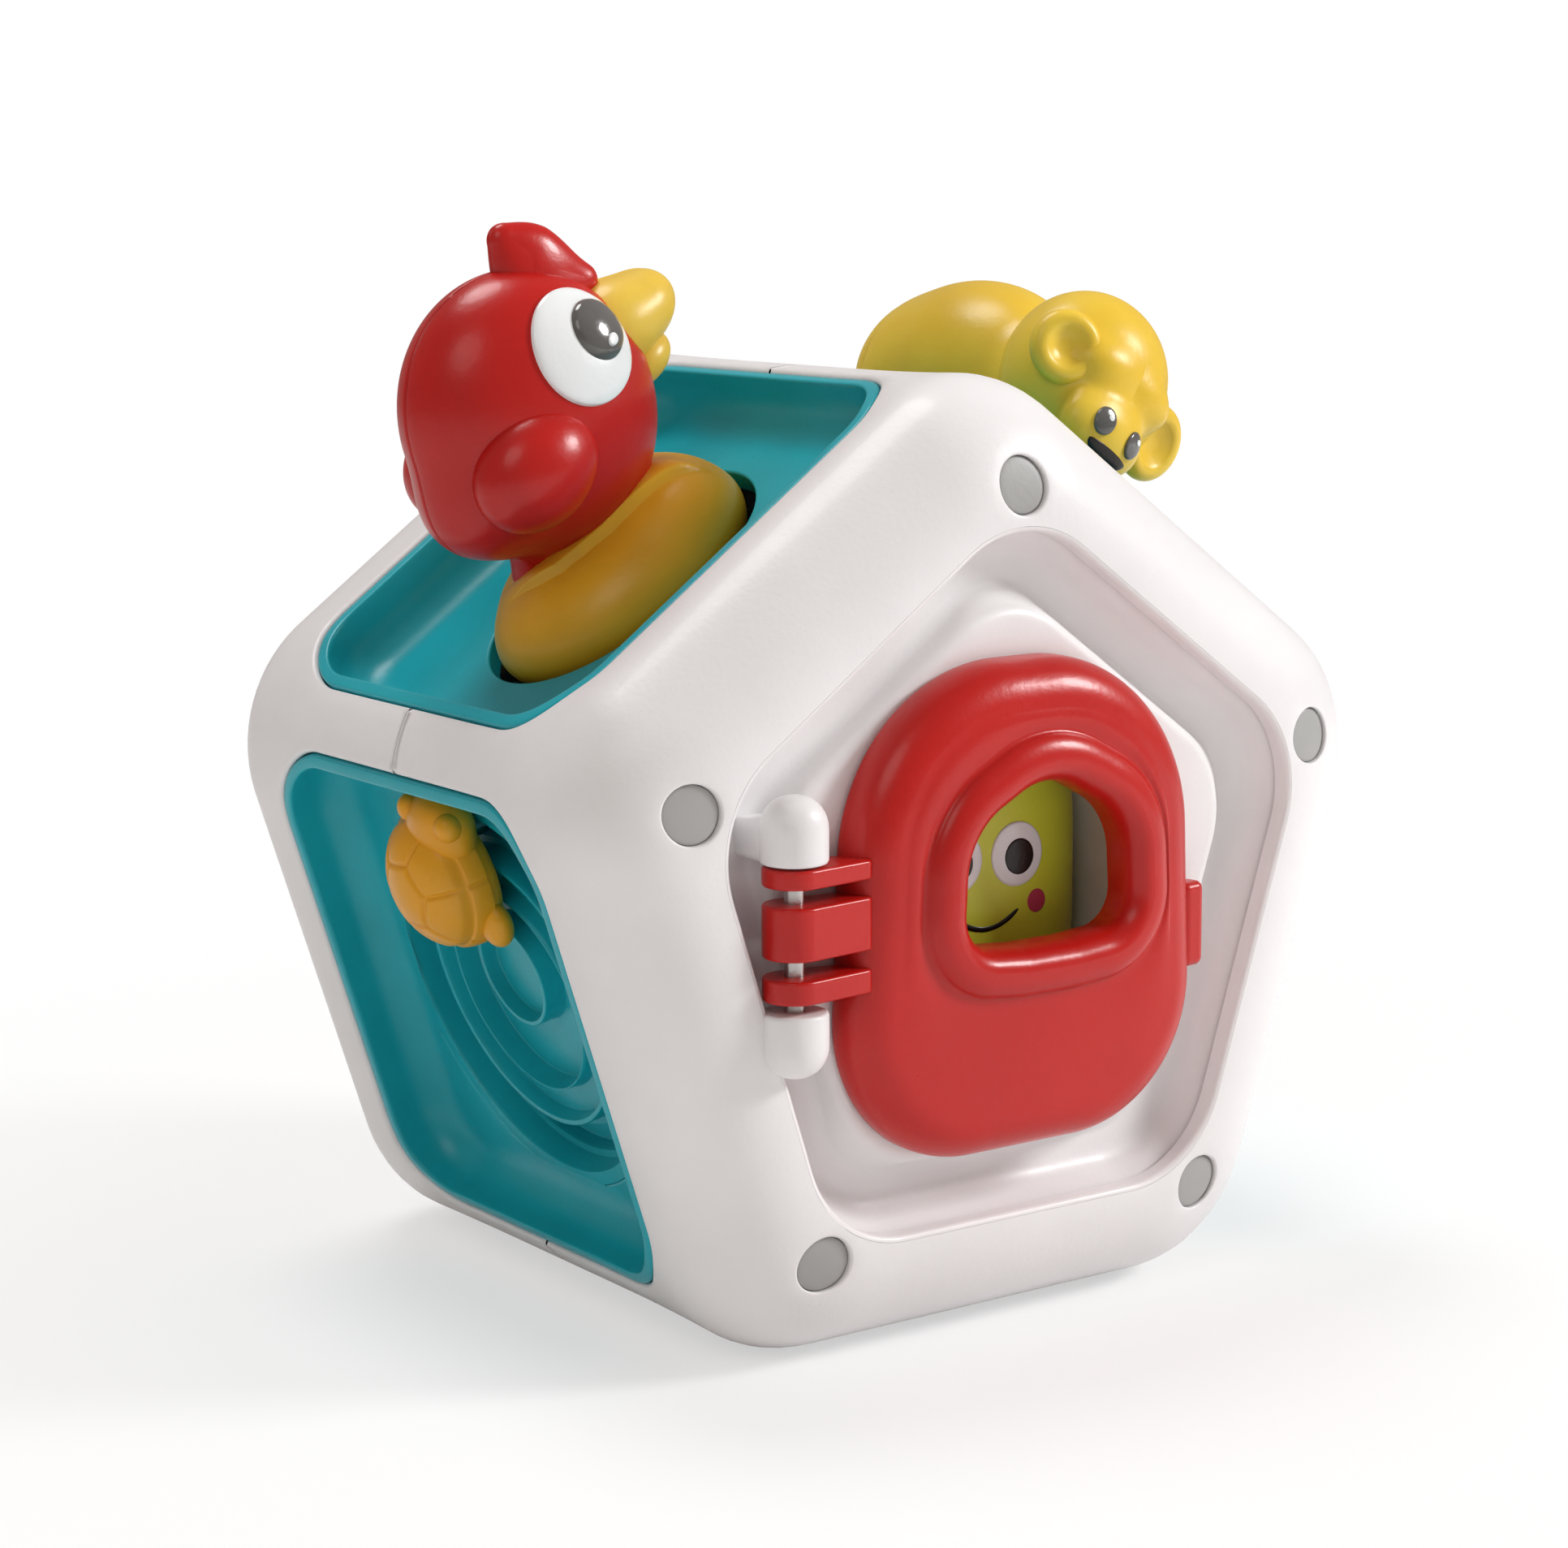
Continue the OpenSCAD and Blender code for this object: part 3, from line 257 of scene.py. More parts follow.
def plastic(name, light, dark, rough, coat=0.0, metal=0.0, stretch=None):
    # Moulded plastic or metal: slow clouds of colour, uneven gloss and a fine grain
    mat, tree, inputs = newMaterial(name)
    place = Shade(tree).node("TexCoord", output="Object")
    if stretch:
        place = place.node("Mapping", sockets={"Vector": place, "Scale": stretch})
    clouds = place.noise(grains["clouds"], 4).step(0.3, 0.7)
    clouds.colour(linear(dark), linear(light)).to(inputs["Base Color"])
    gloss = place.noise(grains["gloss"], 5) * grains["spread"] + (rough - grains["spread"] / 2)
    gloss.to(inputs["Roughness"])
    height = place.noise(grains["fine"], 3)
    settings = {"Strength": grains["strength"], "Distance": grains["distance"], "Height": height}
    height.node("Bump", sockets=settings).to(inputs["Normal"])
    inputs["Coat Weight"].default_value = coat
    inputs["Metallic"].default_value = metal
    inputs["Specular IOR Level"].default_value = grains["specular"]
    return mat


# Each finish: the record's material slot, the material's name, its light and dark colour, roughness and coat
finishes = dict(
    white=("white_plastic", "whitePlastic", "EEEDEE", "E9E8E9", 0.38, 0.08),
    teal=("teal_plastic", "tealPlastic", "1BAEBC", "16A3B1", 0.33),
    red=("red_plastic", "redPlastic", "C01B16", "B81712", 0.3, 0.06),
    beak=("amber_plastic", "beakPlastic", "E9C54E", "DFB73E", 0.34),
    amber=("amber_plastic", "amberPlastic", "EEB42C", "E4A824", 0.33),
    orange=("orange_plastic", "orangePlastic", "E4A21C", "DA9616", 0.35),
    straw=("pale_yellow_plastic", "strawPlastic", "EECB45", "E4BC34", 0.34),
    lime=("lime_plastic", "limePlastic", "DCE648", "D2DC3E", 0.34),
    # eyeWhiteAndGlint colours the real eye whites and also the painted highlights on the pupils and eyes
    eyeWhiteAndGlint=("eye_white", "eyeWhiteAndGlint", "F2F5F6", "ECF0F1", 0.2, 0.3),
    dark=("dark_plastic", "darkPlastic", "6A6866", "4E4C4A", 0.16, 0.5),
    black=("dark_plastic", "blackPlastic", "241F1B", "1A1613", 0.25),
    grey=("grey_plastic", "greyPlastic", "ACACAB", "A2A2A1", 0.45),
    steel=("steel", "steel", "C6C6C4", "B4B4B2", 0.28, 0.0, 1.0, (1, 1, 12)),
    cheek=("red_plastic", "cheekPrint", "C24560", "BA3F59", 0.35),
)
slots = {finish: row[0] for finish, row in finishes.items()}
paints = {finish: plastic(*row[1:]) for finish, row in finishes.items()}
print("materials ready")


def edgeRadius(y):
    # Corner radius of the prism: wide in the middle, drawn in smoothly towards each end
    reach = body["blend"]
    front = np.maximum(1 - (y + body["half"]) / reach, 0) ** 2 * (body["front"] - body["corner"])
    back = np.maximum(1 - (body["half"] - y) / reach, 0) ** 2 * (body["backCorner"] - body["corner"])
    return body["corner"] + front + back


def outline(psi, apothem, radius):
    # Distance from the axis to a pentagon with round corners: apothem / cos on its flats, a circle at its corners
    near = np.abs((psi - np.radians(54)) % (2 * turn) - turn)
    away = turn - near
    centre = (apothem - radius) / np.cos(turn)
    root = np.sqrt(np.maximum(radius**2 - (centre * np.sin(near)) ** 2, 0))
    flat = np.tan(away) * apothem <= (apothem - radius) * np.tan(turn)
    return np.where(flat, apothem / np.cos(away), centre * np.cos(near) + root)


def ringAt(psi, rho, y):
    return stacked(rho * np.cos(psi), y, body["apothem"] + rho * np.sin(psi))


def outlineRings(psi, rows):
    # Rings round the axis from rows of (apothem, corner radius, y)
    return [ringAt(psi, outline(psi, apothem, radius), y) for apothem, radius, y in rows]


def profile(q):
    # Place along the prism and side inset at a distance q along the skin from the middle
    front, back = body["front"], body["back"]
    lead = np.clip((front - body["half"] - q) / front, 0, np.pi / 2)
    tail = np.clip((q - body["half"] + back) / back, 0, np.pi / 2)
    y = np.clip(q, front - body["half"], body["half"] - back) - front * np.sin(lead) + back * np.sin(tail)
    return y, front * (1 - np.cos(lead)) + back * (1 - np.cos(tail))


def skin(psi, q, sunk=0.0):
    # The body's outer surface, as a function of the angle about Y and the distance along the skin
    y, inset = profile(q)
    return ringAt(psi, outline(psi, body["apothem"] - inset - sunk, edgeRadius(y) - sunk), y)


def skinNormals(psi, q):
    step, stride = 1e-4, 5e-3
    across = skin(psi + step, q) - skin(psi - step, q)
    along = skin(psi, q + stride) - skin(psi, q - stride)
    return unit(np.cross(across, along))


def skinHeight(s, y):
    # Height of the skin over a side at places s along it and y along the prism
    inset = profile(y)[1]
    apothem, radius = body["apothem"] - inset, edgeRadius(y)
    over = np.maximum(np.abs(s) - (apothem - radius) * np.tan(turn), 0)
    return apothem - radius + np.sqrt(radius**2 - over**2)


# The skin is unrolled at this many mm per radian; ends are its last q, just short of the end planes
shell = dict(
    unrolled=75.0, ends={-1: -body["half"] - 11.04, 1: body["half"] + 8.55}, spacing=2.0, climb=1.6,
    fillet=0.9, wall=6.0, seam=0.08, seamRound=0.2, seamDepth=2.2, seamPoints=15,
)
rims = {
    -1: [(51.2, 19.4, -61.2)] + [(51.2 - a, 19.4 - a, d - 61.2) for a, d in rounding(0.9, 25, 50, 70, 90)]
    + [(50.3, 18.5, -58.2)],
    1: [(55.6, 24.6, 61.2), (54.0, 23.5, 61.2), (52.2, 21.2, 61.2)]
    + [(52.2 - a, 20.8 - a, 61.2 - d) for a, d in rounding(0.8, 30, 60, 90)] + [(51.4, 20.0, 58.4)],
}
well = dict(place=65.0, radius=4.6, edge=0.45, walls=(-52.0, -48.5))


def frontPlace(psi, rho):
    # Distance q on the front rounding where the skin lies at rho from the axis
    def nearer(q):
        y, inset = profile(q)
        return outline(psi, body["apothem"] - inset, edgeRadius(y)) < rho

    return bisect(nearer, np.full_like(psi, shell["ends"][-1] - 0.01), np.full_like(psi, -30.0), 40)


def wellRing(radius, t):
    # Circles about the middle of a screw well as angle about the axis, distance from it, and q on the skin
    u, v = well["place"] + radius * np.cos(t), radius * np.sin(t)
    around, rho = np.arctan2(v, u), np.hypot(u, v)
    return around, rho, frontPlace(around + np.pi / 2, rho)


def hullLoop(circles, grow=0.0, count=720):
    # Outline of a hull of circles (x, y, radius), as evenly spaced directions' farthest points
    c, t = np.asarray(circles, float), circle(count)
    n = stacked(np.cos(t), np.sin(t))
    best = (n @ c[:, :2].T + c[:, 2]).argmax(1)
    return c[best, :2] + n * (c[best, 2:] + grow)


def polar(circles, psi, grow=0.0, about=(0.0, 0.0)):
    # Distance from a point to the outline of a hull of circles, in the directions psi
    loop = hullLoop(circles, grow)
    dense = np.concatenate([loop + (np.roll(loop, -1, 0) - loop) * k / 40 for k in range(40)]) - about
    t = np.arctan2(dense[:, 1], dense[:, 0]) % (2 * np.pi)
    order = np.argsort(t)
    return np.interp(np.asarray(psi) % (2 * np.pi), t[order], np.hypot(*dense.T)[order], period=2 * np.pi)


def roundedRect(half, deep, corner):
    x, y = half - corner, deep - corner
    return [(i * x, j * y, corner) for i in (-1, 1) for j in (-1, 1)]


def rectQuarter(grow):
    # A quarter of an opening's outline, from the middle of its end to where the seam meets its long side
    corner = openings["corner"] + grow
    x, y = openings["width"] - openings["corner"], openings["depth"] - openings["corner"]
    t = np.linspace(0, np.pi / 2, 26)
    bend = stacked(x + corner * np.sin(t), y + corner * np.cos(t))
    lead = stacked(np.linspace(0, x, 18)[:-1], y + corner)
    tail = stacked(x + corner, np.linspace(y, shell["seam"] + shell["seamRound"], 19)[1:])
    return np.concatenate([lead, bend, tail])


def insidePolygon(points, loop):
    # A point is inside where a ray from it crosses the loop an odd number of times
    x, y = points[:, 0:1], points[:, 1:2]
    a, b = loop, np.roll(loop, -1, 0)
    crosses = (a[:, 1] > y) != (b[:, 1] > y)
    with np.errstate(divide="ignore", invalid="ignore"):
        at = a[:, 0] + (y - a[:, 1]) * (b[:, 0] - a[:, 0]) / (b[:, 1] - a[:, 1])
    return (crosses & (x < at)).sum(1) % 2 == 1


def fill(border, holes, spacing):
    # Triangles that fill a flat outline less its holes, with points on an even grid inside
    def within(points):
        return insidePolygon(points, border) & ~np.any([insidePolygon(points, hole) for hole in holes], 0)

    low, high = border.min(0), border.max(0)
    xs, ys = (np.arange(low[k] + spacing / 2, high[k], spacing) for k in (0, 1))
    inner = np.stack(np.meshgrid(xs, ys), -1).reshape(-1, 2)
    loops = [border, *holes]
    rim = np.concatenate(loops)
    keep = within(inner)
    for part in np.array_split(np.arange(len(inner)), 12):
        gap = np.linalg.norm(inner[part, None] - rim[None], axis=-1).min(1)
        keep[part] &= gap > spacing * 0.45
    links, base = [], 0
    for loop in loops:
        links += [(base + k, base + (k + 1) % len(loop)) for k in range(len(loop))]
        base += len(loop)
    found = delaunay_2d_cdt([tuple(p) for p in np.concatenate([rim, inner[keep]])], links, [], 0, 1e-6)
    points = np.array([tuple(p) for p in found[0]])
    faces = np.array([f for f in found[2] if len(f) == 3])
    return points, faces[within(points[faces].mean(1))]


def shellHalf(end):
    # One half of the body: five equal sectors about the long edges, each unrolled flat and filled with
    # triangles, with half an opening on each flank
    shape = Shape()
    scale, limit, fillet = shell["unrolled"], shell["ends"][end], shell["fillet"]
    quarter = rectQuarter(fillet)
    height = skinHeight(quarter[:, 0], quarter[:, 1] * end)
    side = stacked((turn - np.arctan2(quarter[:, 0], height)) * scale, quarter[:, 1] * end)
    count = max(int(abs(limit - side[0, 1]) / shell["climb"]), 2)
    climb = np.linspace(limit, side[0, 1], count + 1)[:-1]
    wide = turn * scale
    across = np.linspace(-wide, wide, 81)
    right = np.concatenate([stacked(wide, climb), side])
    middle = np.linspace(side[-1, 0], -side[-1, 0], shell["seamPoints"])
    seam = stacked(middle[1:-1], (shell["seam"] + shell["seamRound"]) * end)
    border = np.concatenate([right, seam, right[::-1] * [-1, 1], stacked(across[1:-1], limit)])

    wells = []
    if end < 0:
        for a, sunk in rounding(well["edge"], 90, 60, 30, 0):
            around, rho, q = wellRing(well["radius"] + well["edge"] - a, circle(48))
            wells.append((around, rho, profile(q)[0] + sunk))
    holes = [stacked(around * scale, q)] if wells else []
    flat, faces = fill(border, holes, shell["spacing"])

    for edge in edges:
        at = np.radians(edge)
        outward = lambda p: p - axis + [0, end * 30, 0]
        psi = flat[:, 0] / scale + at
        shape.add(skin(psi, flat[:, 1]), skinNormals(psi, flat[:, 1]), faces, outward)
        psi = middle / scale + at
        rows = [skin(psi, (shell["seam"] + shell["seamRound"] - a) * end, sunk)
                for a, sunk in rounding(shell["seamRound"], 0, 30, 60, 90)]
        rows.append(skin(psi, shell["seam"] * end, shell["seamDepth"]))
        shape.grid(rows, outward, closed=False)
        if wells:
            rows = [ringAt(a + at, r, y) for a, r, y in wells[::-1]]
            a, r, _ = wells[0]
            rows += [ringAt(a + at, r, y) for y in well["walls"]]
            hub = ringAt(at, well["place"], 0)
            shape.grid(rows, lambda p: (hub - p) * [1, 0, 1])

    for angle in sides.values():
        for flip in (-1, 1):
            steps = [(rectQuarter(fillet - a), drop) for a, drop in rounding(fillet, 0, 22, 45, 67, 90)]
            steps.append((rectQuarter(0), shell["wall"]))
            rows = [onSide(angle, loop[:, 0] * flip, loop[:, 1] * end, height - drop) for loop, drop in steps]
            shape.grid(rows, lambda p: toWorld(angle, (0, 0, 60)) - p + outwards(angle) * 30, closed=False)
    psi = np.concatenate([across[:-1] / scale + np.radians(e) for e in (18, 90, 162, 234, 306)])
    return shape.grid(outlineRings(psi, rims[end]), lambda p: (p - axis) * [-1, 0, -1] + [0, end * 60, 0])


shellHalf(-1).make("shellFront", "white", "body", "front_shell")
shellHalf(1).make("shellRear", "white", "body", "rear_shell")
print("shell halves made")

# The channel's arcs are (how much less the corner radius is, rows of apothem and y)
panel = dict(
    edge=[(51.0, 19.6, -58.0), (50.2, 18.6, -57.2), (49.2, 17.8, -56.0)],
    channel=(
        (31.2, arc(44.6, -56.4, 4.4, 3.7, 20, 90, 7)), (28.8, arc(43.4, -55.1, -2.4, 2.4, 90, 25, 6)),
        (23.8, arc(38.4, -55.0, 2.4, -2.4, 20, 90, 6)),
    ),
    middle=(38.4, 14.6), face=-57.4, lip=1.0, floor=-40.2, cove=3.0, capX=-1, capY=-37.2,
)
pocket = [(-1, 6, 25), (-12, -16, 14), (10, -16, 14)]


def frontPanel():
    # Channel, raised middle and pocket, as rings round the axis whose profile runs inwards
    psi = circle(500)
    face, lip, floor, cove = (panel[k] for k in ("face", "lip", "floor", "cove"))
    rings = outlineRings(psi, panel["edge"] + [(a, a - less, y) for less, rows in panel["channel"] for a, y in rows])
    outer, inner = outline(psi, *panel["middle"]), polar(pocket, psi, lip)
    rings += [ringAt(psi, outer * (1 - w) + inner * w, face) for w in np.linspace(0, 1, 8)[1:]]
    rings += [ringAt(psi, polar(pocket, psi, lip - a), face + d) for a, d in rounding(lip, 30, 60, 90)]
    rings.append(ringAt(psi, polar(pocket, psi), floor))
    rings += [ringAt(psi, polar(pocket, psi, -d), floor + a) for a, d in rounding(cove, 30, 60, 90)]
    inward = lambda p: (p - axis) * [-1, 0, -1] + [0, -40, 0]
    return Shape().grid(rings, inward, cap=(panel["capX"], panel["capY"], body["apothem"]))


def lathe(shape, rows, centre, along=(0, 0, 1), count=64):
    # A round piece: rows of (radius, distance along its own axis)
    along = unit(np.asarray(along, float))
    side = unit(np.cross(along, [0.3, 1, 0.2]))
    t = circle(count)[:, None]
    ring = np.cos(t) * side + np.sin(t) * np.cross(along, side)
    points = np.array([np.asarray(centre) + along * z + ring * r for r, z in rows])
    middle = np.asarray(centre) + along * np.mean([z for _, z in rows])
    return shape.grid(points, lambda p: p - middle, cap=points[-1].mean(0) if rows[-1][0] > 0.01 else None)


# A post starts at gap from the middle; its dome and foot are inside its height
hinge = dict(
    x=-44.8, y=-61.7, post=5.25, gap=11.3, height=10.3, edge=0.6, dome=5.2, foot=-52.6, footHalf=4.6,
    footShort=4, knuckles=((7.9, 10.9), (-3.0, 5.2), (-9.6, -5.9)), knuckle=4.9, knuckleEdge=0.5,
    arm=[(-37.5, -64.3, 1.2), (-37.5, -60.6, 1.2), (-33.6, -64.0, 1.2), (-33.6, -60.2, 1.0)],
)


def hingePosts(shape):
    r, edge, dome, short = (hinge[k] for k in ("post", "edge", "dome", "footShort"))
    for way in (-1, 1):
        low, high = hinge["gap"] * way, (hinge["gap"] + hinge["height"]) * way
        rows = [(0.001, low), (2.2, low), (r - edge, low), (r - edge / 3, low + edge / 4 * way),
                (r, low + edge * way), (r, high - (dome + 0.2) * way)]
        for k in np.radians(np.linspace(10, 90, 9)):
            rows.append((r * np.cos(k) ** 0.85 + 0.001, high + dome * (np.sin(k) - 1) * way))
        lathe(shape, rows, (hinge["x"], hinge["y"], body["apothem"]))
        # The foot's outline is a squarish loop: sign(cos) |cos|^0.3 and the same of the sine
        x, z = (np.sign(v) * np.abs(v) ** 0.3 for v in (np.cos(circle(48)), np.sin(circle(48))))
        x = hinge["x"] + hinge["footHalf"] * x
        z = body["apothem"] + (low + high - short * way) / 2 + z * (hinge["height"] - short) / 2
        rings = [stacked(x, y, z) for y in (hinge["y"], hinge["foot"])]
        shape.grid(rings, lambda p: (p - p.mean(0)) * [1, 0, 1])
    return shape


hingePosts(frontPanel()).make("doorPanel", "white", "body", "door_panel")


def plate(shape, circles, low, high, fillet, place):
    # A flat piece with rounded edges whose outline is a hull of circles; place maps (u, v, w) to points
    rows = [(a - fillet, low + d) for a, d in rounding(fillet, 0, 30, 60, 90)]
    rows += [(g, low + high - w) for g, w in rows[::-1]]
    loops = [hullLoop(circles, g, 96) for g, _ in rows]
    centre = np.mean([c[:2] for c in circles], 0)
    first = [centre + (loops[0] - centre) * f for f in np.linspace(0.02, 0.8, 4)]
    loops = first + loops + first[::-1]
    levels = [low] * len(first) + [w for _, w in rows] + [high] * len(first)
    points = np.array([place(*loop.T, w) for loop, w in zip(loops, levels)])
    middle = points.mean((0, 1))
    return shape.grid(points, lambda p: p - middle)


# rim is rows of (grow, y) of the window's outline, up its tunnel and over the raised rim to the face, and
# edge is rows of the same for the door's own outline
door = dict(
    outline=[(-11.4, -15.5, 24), (9.4, -15.5, 24), (-4.5, 8.5, 30), (2.5, 8.5, 30)],
    window=[(0.5, 7.0, 12.5), (-3.8, 5.6, 11.7), (4.8, 5.6, 11.7), (-9.8, 0.4, 6.0), (10.8, 0.4, 6.0)],
    rim=[(4.5, -57.85), (4.5, -60.6), (0.5, -61.1), (0, -61.5)] + arc(3.4, -64.6, -3.4, -4.4, 0, 90, 9)
    + arc(3.6, -66.1, 4.2, -2.9, 90, 12, 10) + [(8.15, -66.5)],
    edge=arc(-7.2, -59.8, 7.2, -6.6, 90, 0, 13) + [(0, -58.55), (-0.3, -57.95), (-1, -57.85), (-4, -57.85)],
    face=-66.4, crown=0.35, about=(0.0, 4.0), middle=-61,
    latch=[(33.2, -61.2, 1.9), (35.0, -61.2, 1.7), (33.2, -60.2, 1.6), (35.0, -60.4, 1.5)], latchAt=(-15, -1),
)


def doorShape():
    # Rings from the back of the window's tunnel over its rim and the face to the back of the door
    psi = circle(520)
    about = np.array(door["about"])

    def ring(rho, y):
        return stacked(about[0] + rho * np.cos(psi), y, body["apothem"] + about[1] + rho * np.sin(psi))

    rims, edge = ([(polar(door[name], psi, grow, about), y) for grow, y in door[rows]]
                  for name, rows in (("window", "rim"), ("outline", "edge")))
    valley, inner = rims[-1][0], edge[0][0]
    rings = [ring(rho, y) for rho, y in rims]
    for w in np.linspace(0, 1, 9)[1:]:
        rings.append(ring(valley * (1 - w) + inner * w, door["face"] - door["crown"] * np.sin(np.pi * w)))
    rings += [ring(rho, y) for rho, y in edge[1:]] + rings[:1]
    return Shape().grid(rings, lambda p: (p - [0, door["middle"], 0]) * [0, 1, 0])


def knuckles(shape):
    # Plates across the height: the hinge's three knuckles with their arms, and the latch tab
    arm = [(hinge["x"], hinge["y"], hinge["knuckle"])] + hinge["arm"]
    plates = [(arm, low, high, hinge["knuckleEdge"]) for low, high in hinge["knuckles"]]
    for circles, low, high, edge in plates + [(door["latch"], *door["latchAt"], 1.3)]:
        plate(shape, circles, body["apothem"] + low, body["apothem"] + high, edge, stacked)
    return shape


knuckles(doorShape()).make("door", "red", "door", "door_front", "door_back")
print("door made")

# The tray's edge as (grow, depth under the skin) and its hollow as (grow, height), from the outside inwards
tray = dict(
    edge=(
        (-0.25, 5), (-0.25, 0.75), (-0.37, 0.52), (-0.65, 0.42),
        (-1.8, 0.42), (-2.2, 0.52), (-2.36, 0.8), (-2.4, 1.3),
    ),
    hollow=arc(-8.9, 66.1, 6.5, -6.5, 0, 90, 11), holeEdge=0.5,
)


def trayRows(angle, hole=None, deep=None):
    # Lip that follows the skin, wall, hollow and floor; hole is a hull of circles whose wall goes down to deep
    psi = circle(480)
    rect = roundedRect(openings["width"], openings["depth"], openings["corner"])
    floor, edge = openings["floor"], tray["holeEdge"]

    def ring(rho, h=None, sink=0.0):
        s, y = rho * np.cos(psi), rho * np.sin(psi)
        return onSide(angle, s, y, skinHeight(s, y) - sink if h is None else h)

    rings = [ring(polar(rect, psi, grow), sink=sink) for grow, sink in tray["edge"]]
    rings += [ring(polar(rect, psi, grow), h) for grow, h in tray["hollow"]]
    if hole is None:
        return Shape().grid(rings, outwards(angle), cap=toWorld(angle, (0, 0, floor)))
    last, rim = polar(rect, psi, tray["hollow"][-1][0]), polar(hole, psi, edge)
    rings += [ring(last * (1 - w) + rim * w, floor) for w in np.linspace(0, 1, 6)[1:]]
    rings += [ring(polar(hole, psi, edge - a), floor - d) for a, d in rounding(edge, 30, 60, 90)]
    return Shape().grid(rings + [ring(polar(hole, psi), deep)], outwards(angle))


# Radii at which a step starts and ends are in pairs; walls and far are the radii of the rings
maze = dict(
    track=28.5, half=4.0, depth=4.4, slot=2.2, slotDepth=2.6, ends=(-50, 230), shift=(3.0, 10, 16.5),
    walls=(8.3, 9.5, 10.3, 16.6, 17.5, 18.4, 23.3, 24.5, 26.3, 30.7, 32.5),
    far=(0.01, 2, 4, 6, 7.4, 11.5, 13, 15, 19.5, 21.5, 27.4, 28.5, 29.6, 33.6, 35),
    inside=(24.4, 24.8, 0.5), ring=(17.9, 18.5, 23.0, 23.5, 2.6), moat=(9.3, 9.7, 17.3, 17.7, 3.9),
    island=(8.1, 8.5, 2.6),
)


def mazeFloor(shape):
    # Height over the floor as a function of the distance and angle about the middle of the side
    angle = sides["maze"]
    fine = [w + d for w in maze["walls"] for d in (-0.45, -0.28, -0.14, 0, 0.14, 0.28, 0.45)]
    radius = np.array(sorted([*maze["far"], *fine]))[:, None]
    t = np.radians(np.arange(0, 360, 0.75))[None, :]
    a0, a1 = np.radians(maze["ends"])
    past = np.maximum(np.abs((t - (a0 + a1) / 2 + np.pi) % (2 * np.pi) - np.pi) - (a1 - a0) / 2, 0)
    off = np.hypot(radius - maze["track"], past * maze["track"])
    h = openings["floor"] + 0 * t
    for low, high, drop in (maze["inside"], maze["island"]):
        h = h - drop * (1 - ease(radius, low, high))
    for low, high, low2, high2, drop in (maze["ring"], maze["moat"]):
        h = h - drop * ease(radius, low, high) * (1 - ease(radius, low2, high2))
    h = h - maze["depth"] * (1 - ease(off, maze["half"] - 0.3, maze["half"] + 0.1))
    h = h - maze["slotDepth"] * (1 - ease(off, maze["slot"] - 0.2, maze["slot"] + 0.1))
    shift, low, high = maze["shift"]
    s, y = shift * (1 - ease(radius, low, high)) + radius * np.cos(t), radius * np.sin(t)
    return shape.grid(onSide(angle, s, y, h), outwards(angle))


birdSlot = [(-7.1, 0, 19.5), (7.1, 0, 19.5)]
trayRows(sides["bird"], birdSlot, 56.0).make("birdTray", "teal", "body", "bird_tray")
trayRows(sides["monkey"], [(0, 0, 5.5)], 56.0).make("monkeyTray", "teal", "body", "monkey_tray")
trayRows(sides["right"]).make("rightTray", "teal", "body", "right_tray")
mazeFloor(trayRows(sides["maze"], [(0, 0, 35)], 59.55)).make("mazeTray", "teal", "body", "maze_tray")
print("trays made")


def ellipsoid(p, centre, semi):
    # Rough distance to an ellipsoid: k0 (k0 - 1) / k1 with k0 = |p / semi| and k1 = |p / semi^2|
    v = p - np.array(centre, float)
    semi = np.array(semi, float)
    k0 = np.linalg.norm(v / semi, axis=-1)
    k1 = np.linalg.norm(v / semi**2, axis=-1)
    return k0 * (k0 - 1) / np.maximum(k1, 1e-9)


def cone(p, a, b, ra, rb):
    # Distance to a ball that grows or shrinks as it moves from a to b
    a, b = np.array(a, float), np.array(b, float)
    t = np.clip(((p - a) @ (b - a)) / ((b - a) @ (b - a)), 0, 1)
    return np.linalg.norm(p - a - t[..., None] * (b - a), axis=-1) - ra - t * (rb - ra)


def join(a, b, soft):
    # Union of two fields whose crease is filled over a width of about soft
    t = np.clip(0.5 + 0.5 * (b - a) / soft, 0, 1)
    return b * (1 - t) + a * t - soft * t * (1 - t)


def blob(p, parts):
    # Ellipsoids (centre, semi-axes, softness) joined one after another; the first has no softness
    f = ellipsoid(p, *parts[0])
    for centre, semi, soft in parts[1:]:
        f = join(f, ellipsoid(p, centre, semi), soft)
    return f


def groove(distance, width=0.28, depth=0.4):
    # A soft line drawn into a field: depth e^-(distance / width)^2
    return depth * np.exp(-((distance / width) ** 2))


def surfaceAlong(start, way, field, reach):
    # First place where rays that come in from reach towards start meet the surface, by steps and then bisection
    steps = np.linspace(reach, 0, 90)
    inside, outside = np.zeros(way.shape[:-1]), np.full(way.shape[:-1], float(reach))
    free = np.ones(way.shape[:-1], bool)
    for r in steps:
        hit = field(start + way * r) < 0
        inside[hit & free] = r
        outside[hit & free] = min(r + steps[0] - steps[1], reach)
        free &= ~hit
    inside = bisect(lambda r: field(start + way * r[..., None]) < 0, inside, outside, 16)
    return start + way * inside[..., None]


